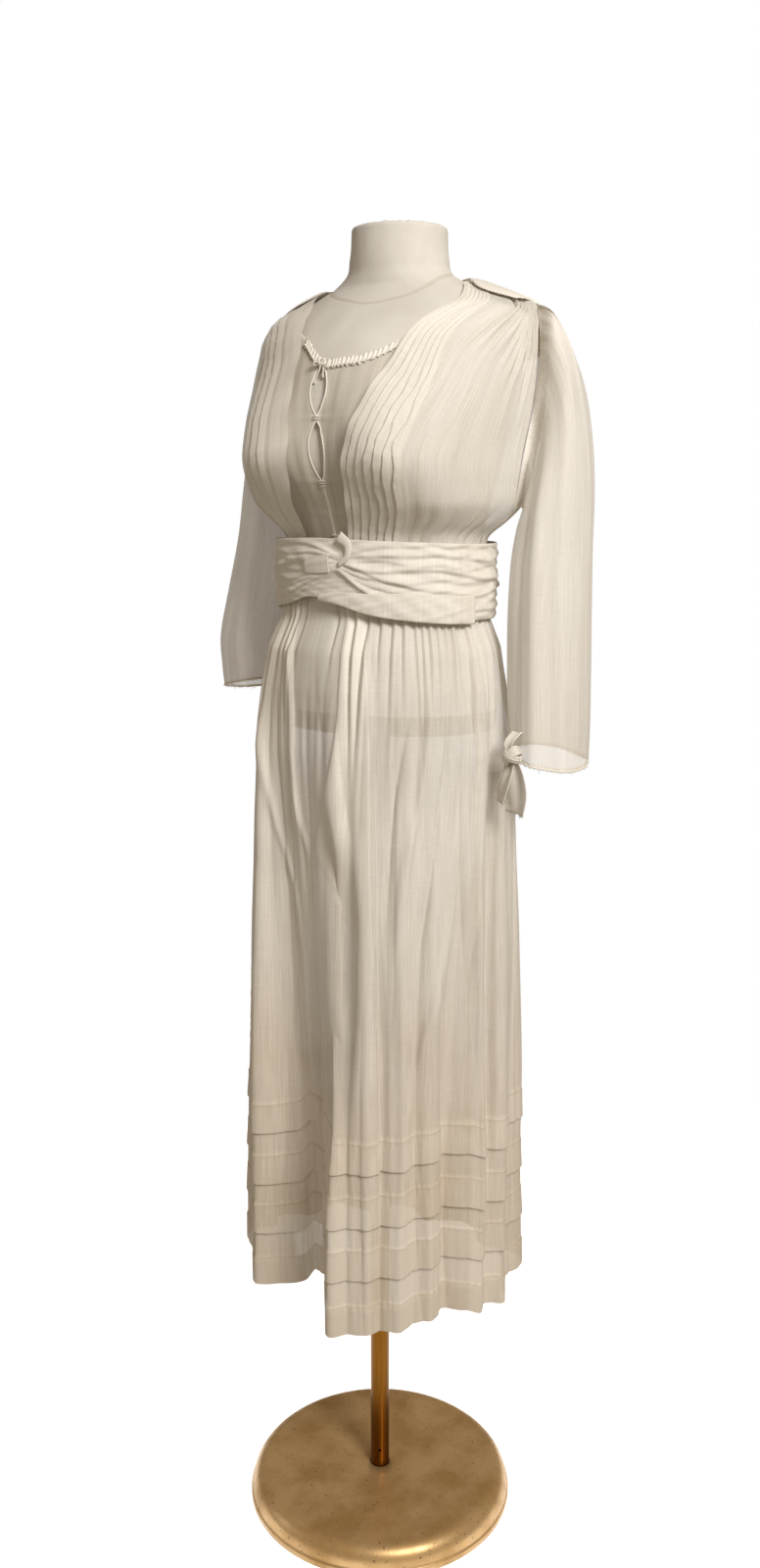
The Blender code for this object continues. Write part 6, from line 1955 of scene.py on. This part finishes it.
        # Each panel's own unevenness dies away at the side seams, where the two share an edge
        own = (soft + fine + pucker) * rise(inward, 0, 0.014)
        lift = 0.0034 * fade(down, 0.06, 0.32) + folds * calm + own + ruck
        pleats, folded = overlaid(self.laps, np.degrees(turn), height, self.degree)
        lift = np.maximum(lift, -0.0012 - 0.006 * hip - 0.022 * rise(down, 0.22, 0.36)) + tucks[:, None]
        lift = lift + pleats * fade(down, 0.26, 0.42)
        points = moved_out(self.surface, turn, height, lift)
        close = self.lower_cover * rise(down, 0.15, 0.32) + (self.hem_cover - self.lower_cover) * rise(down, 0.45, 0.75)
        bare = overlaid((self.hollow,), np.degrees(turn), height, self.blurred_degree)[1]
        close = close * (1 - bare * rise(height, 0.56, 0.66))
        layers = np.maximum.reduce([np.broadcast_to(doubled[:, None], turn.shape), cover, folded, close, seam * 0.9])
        return Patch(points, x, down, layers, np.maximum(sewn[:, None], seam * 0.5))

    def build(self) -> None:
        """Make the two panels."""
        seam = self.side_seam
        draw = np.random.default_rng(111)
        front = self.gathers(self.front_gathers, 112) + list(self.long_folds)
        back_turns = np.linspace(seam + 3, 357 - seam, 50) + draw.normal(0, 0.9, 50)
        back = self.gathers(tuple(back_turns), 113) + list(self.long_folds)
        for k, at in enumerate(np.linspace(seam + 38, 350 - seam, 20)):
            sway = draw.normal(0, 3.0, 3)
            path = ((at, 1.19), (at + sway[0], 0.95), (at + sway[1], 0.65), (at + sway[2], 0.38))
            if k % 2:
                back.append(Crease(path, -draw.uniform(0.003, 0.006), draw.uniform(0.004, 0.006), Profile.PLEAT))
            else:
                back.append(Crease(path, draw.uniform(0.003, 0.006), draw.uniform(0.006, 0.010)))
        panel = add_piece(
            "skirt_front_panel", [self.panel(-seam, seam, self.front_columns, front, 120)], VOILE
        )
        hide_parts("skirt_front")
        panel = add_piece(
            "skirt_back_panel", [self.panel(seam, 360 - seam, self.back_columns, back, 130)], VOILE
        )
        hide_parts("skirt_back")


# ---- the studio


@dataclass
class Studio:
    """White paper, soft light and the camera at the photograph's place."""

    turn: float = math.radians(32)
    distance: float = 1.72
    height: float = 1.348
    pitch: float = math.radians(11.6)
    sensor: float = 36.0
    focal: float = 1430.0  # the photograph's focal length, in its own pixels
    photo_width: float = 776.0
    aim: tuple[float, float, float] = (0.0, 0.0, 1.0)  # what the lamps face
    world: float = 0.27
    ambient: str = "#FFECD0"
    floor_radius: float = 1.2
    floor_hole: float = 0.001
    floor_drop: float = 0.0002  # how far the paper lies below the base's underside
    floor_sides: int = 64

    def lamp(self, name: str, place: tuple[float, float, float], size: float, power: float, colour: str) -> None:
        """An area light at a place, turned towards the dress."""
        light = bpy.data.lights.new(name, "AREA")
        light.shape = "DISK"
        light.size = size
        light.energy = power
        light.color = linear(colour)[:3]
        lamp = bpy.data.objects.new(name, light)
        way = np.array(self.aim) - np.array(place)
        lamp.location = place
        lamp.rotation_euler = (math.acos(-way[2] / np.linalg.norm(way)), 0, math.atan2(way[1], way[0]) - math.pi / 2)
        bpy.context.scene.collection.objects.link(lamp)

    def build(self) -> None:
        """Make the floor, the lights, the world and the camera."""
        rings = np.array([self.floor_hole, self.floor_radius])
        points = lathe(rings, np.full(2, -self.floor_drop), self.floor_sides)
        span = np.zeros((2, self.floor_sides + 1))
        floor = bpy.data.objects.new("paper_floor", mesh_of("paper_floor", [Patch(points, span, span, around=True)]))
        floor.data.materials.append(Backdrop().material())
        floor.visible_diffuse = False
        bpy.context.scene.collection.objects.link(floor)
        scene = bpy.context.scene
        scene.view_settings.view_transform = "Standard"
        world = bpy.data.worlds.new("studio")
        world.use_nodes = True
        tree = world.node_tree
        seen = add_node(tree, "LightPath", output="Is Camera Ray")
        colour = add_node(tree, "Mix", {0: seen, 6: linear(self.ambient), 7: WHITE}, 2, data_type="RGBA")
        power = add_node(tree, "MapRange", (seen, 0.0, 1.0, self.world, 1.0))
        feed(tree, tree.nodes["Background"], {"Color": colour, "Strength": power})
        scene.world = world
        self.lamp("key", (2.400, -1.350, 3.0), 1.2, 104, "#FEFCFA")
        self.lamp("fill", (-2.6, -2.0, 1.7), 2.0, 7, "#F4F7FF")
        data = bpy.data.cameras.new("camera")
        data.sensor_fit = "HORIZONTAL"
        data.sensor_width = self.sensor
        data.lens = self.sensor * self.focal / self.photo_width
        camera = bpy.data.objects.new("camera", data)
        camera.location = (self.distance * math.sin(self.turn), -self.distance * math.cos(self.turn), self.height)
        camera.rotation_euler = (math.pi / 2 - self.pitch, 0, self.turn)
        scene.collection.objects.link(camera)
        scene.camera = camera


FRONT_EDGE_LEFT = (
    Bend(89.7, 1.592), Bend(66, 1.586), Bend(45, 1.566), Bend(32.5, 1.540), Bend(25, 1.491),
    Bend(19, 1.449), Bend(14.5, 1.412), Bend(10.5, 1.355), Bend(7.5, 1.304), Bend(7, WAIST_SEAM),
)
FRONT_EDGE_RIGHT = (
    Bend(89.7, 1.592), Bend(60, 1.587), Bend(38, 1.576), Bend(20, 1.553), Bend(13, 1.520),
    Bend(11.5, 1.463), Bend(11.5, 1.420), Bend(13.5, 1.370), Bend(19, 1.304), Bend(20, WAIST_SEAM),
)
SLEEVE_LEFT = (
    Ring(0.2075, 1.5465, 0.1690, 1.3390, 0.057, 0.027),
    Ring(0.2290, 1.5000, 0.1715, 1.3320, 0.059, 0.036),
    Ring(0.2400, 1.4350, 0.1700, 1.3180, 0.060, 0.044),
    Ring(0.2450, 1.3650, 0.1640, 1.2980, 0.058, 0.050),
    Ring(0.2460, 1.2900, 0.1600, 1.2650, 0.055, 0.052),
    Ring(0.2480, 1.2200, 0.1600, 1.2080, 0.052, 0.055),
    Ring(0.2500, 1.1500, 0.1620, 1.1460, 0.050, 0.057),
    Ring(0.2520, 1.0880, 0.1650, 1.0930, 0.047, 0.058),
    Ring(0.2525, 1.0320, 0.1680, 1.0530, 0.044, 0.058),
)
SLEEVE_RIGHT = (
    Ring(0.1975, 1.5445, 0.1700, 1.3390, 0.057, 0.027),
    Ring(0.2140, 1.4960, 0.1715, 1.3320, 0.059, 0.035),
    Ring(0.2255, 1.4330, 0.1690, 1.3180, 0.060, 0.043),
    Ring(0.2330, 1.3650, 0.1630, 1.2980, 0.058, 0.049),
    Ring(0.2400, 1.3000, 0.1580, 1.2720, 0.055, 0.052),
    Ring(0.2530, 1.2300, 0.1650, 1.2190, 0.050, 0.054),
    Ring(0.2640, 1.1700, 0.1700, 1.1680, 0.046, 0.056),
    Ring(0.2630, 1.1290, 0.1680, 1.1310, 0.047, 0.057),
    Ring(0.2600, 1.1010, 0.1660, 1.1080, 0.048, 0.058),
)


def build_dress() -> None:
    """Build the stand, the form and every piece of the dress, from the inside out."""
    Stand().build()
    Form().build()
    Underbodice().build()
    Front(Side.LEFT, FRONT_EDGE_LEFT, 0.03, 6, 0.049, faces_armhole=False, narrowed=0.5).build()
    Front(Side.RIGHT, FRONT_EDGE_RIGHT, 0.13, 3).build()
    Back().build()
    Sleeve(
        Side.LEFT, SLEEVE_LEFT, 0.28,
        (Tail(0.008, -0.008, 0.066, 0.042), Tail(-0.014, -0.002, 0.056, 0.027)),
        ((0.10, 0.0035, 0.030), (0.22, 0.0040, 0.028), (0.31, -0.0030, 0.022), (0.39, 0.0036, 0.030),
         (0.63, 0.0030, 0.03), (0.74, -0.0030, 0.03), (0.86, 0.0034, 0.035)),
    ).build()
    Sleeve(
        Side.RIGHT, SLEEVE_RIGHT, 0.64,
        (Tail(0.004, 0.006, 0.060, 0.026), Tail(-0.012, 0.002, 0.050, 0.020)),
        ((0.08, 0.0030, 0.03), (0.18, -0.0028, 0.024), (0.27, 0.0034, 0.03), (0.40, 0.0026, 0.03),
         (0.58, -0.0026, 0.03), (0.71, 0.0034, 0.03), (0.88, 0.0030, 0.03)),
    ).build()
    Sash().build()
    Skirt().build()


def main() -> None:
    """Build the scene."""
    logging.basicConfig(level=logging.INFO, format="%(name)s %(message)s")
    build_dress()
    Studio().build()


if __name__ == "__main__":
    main()
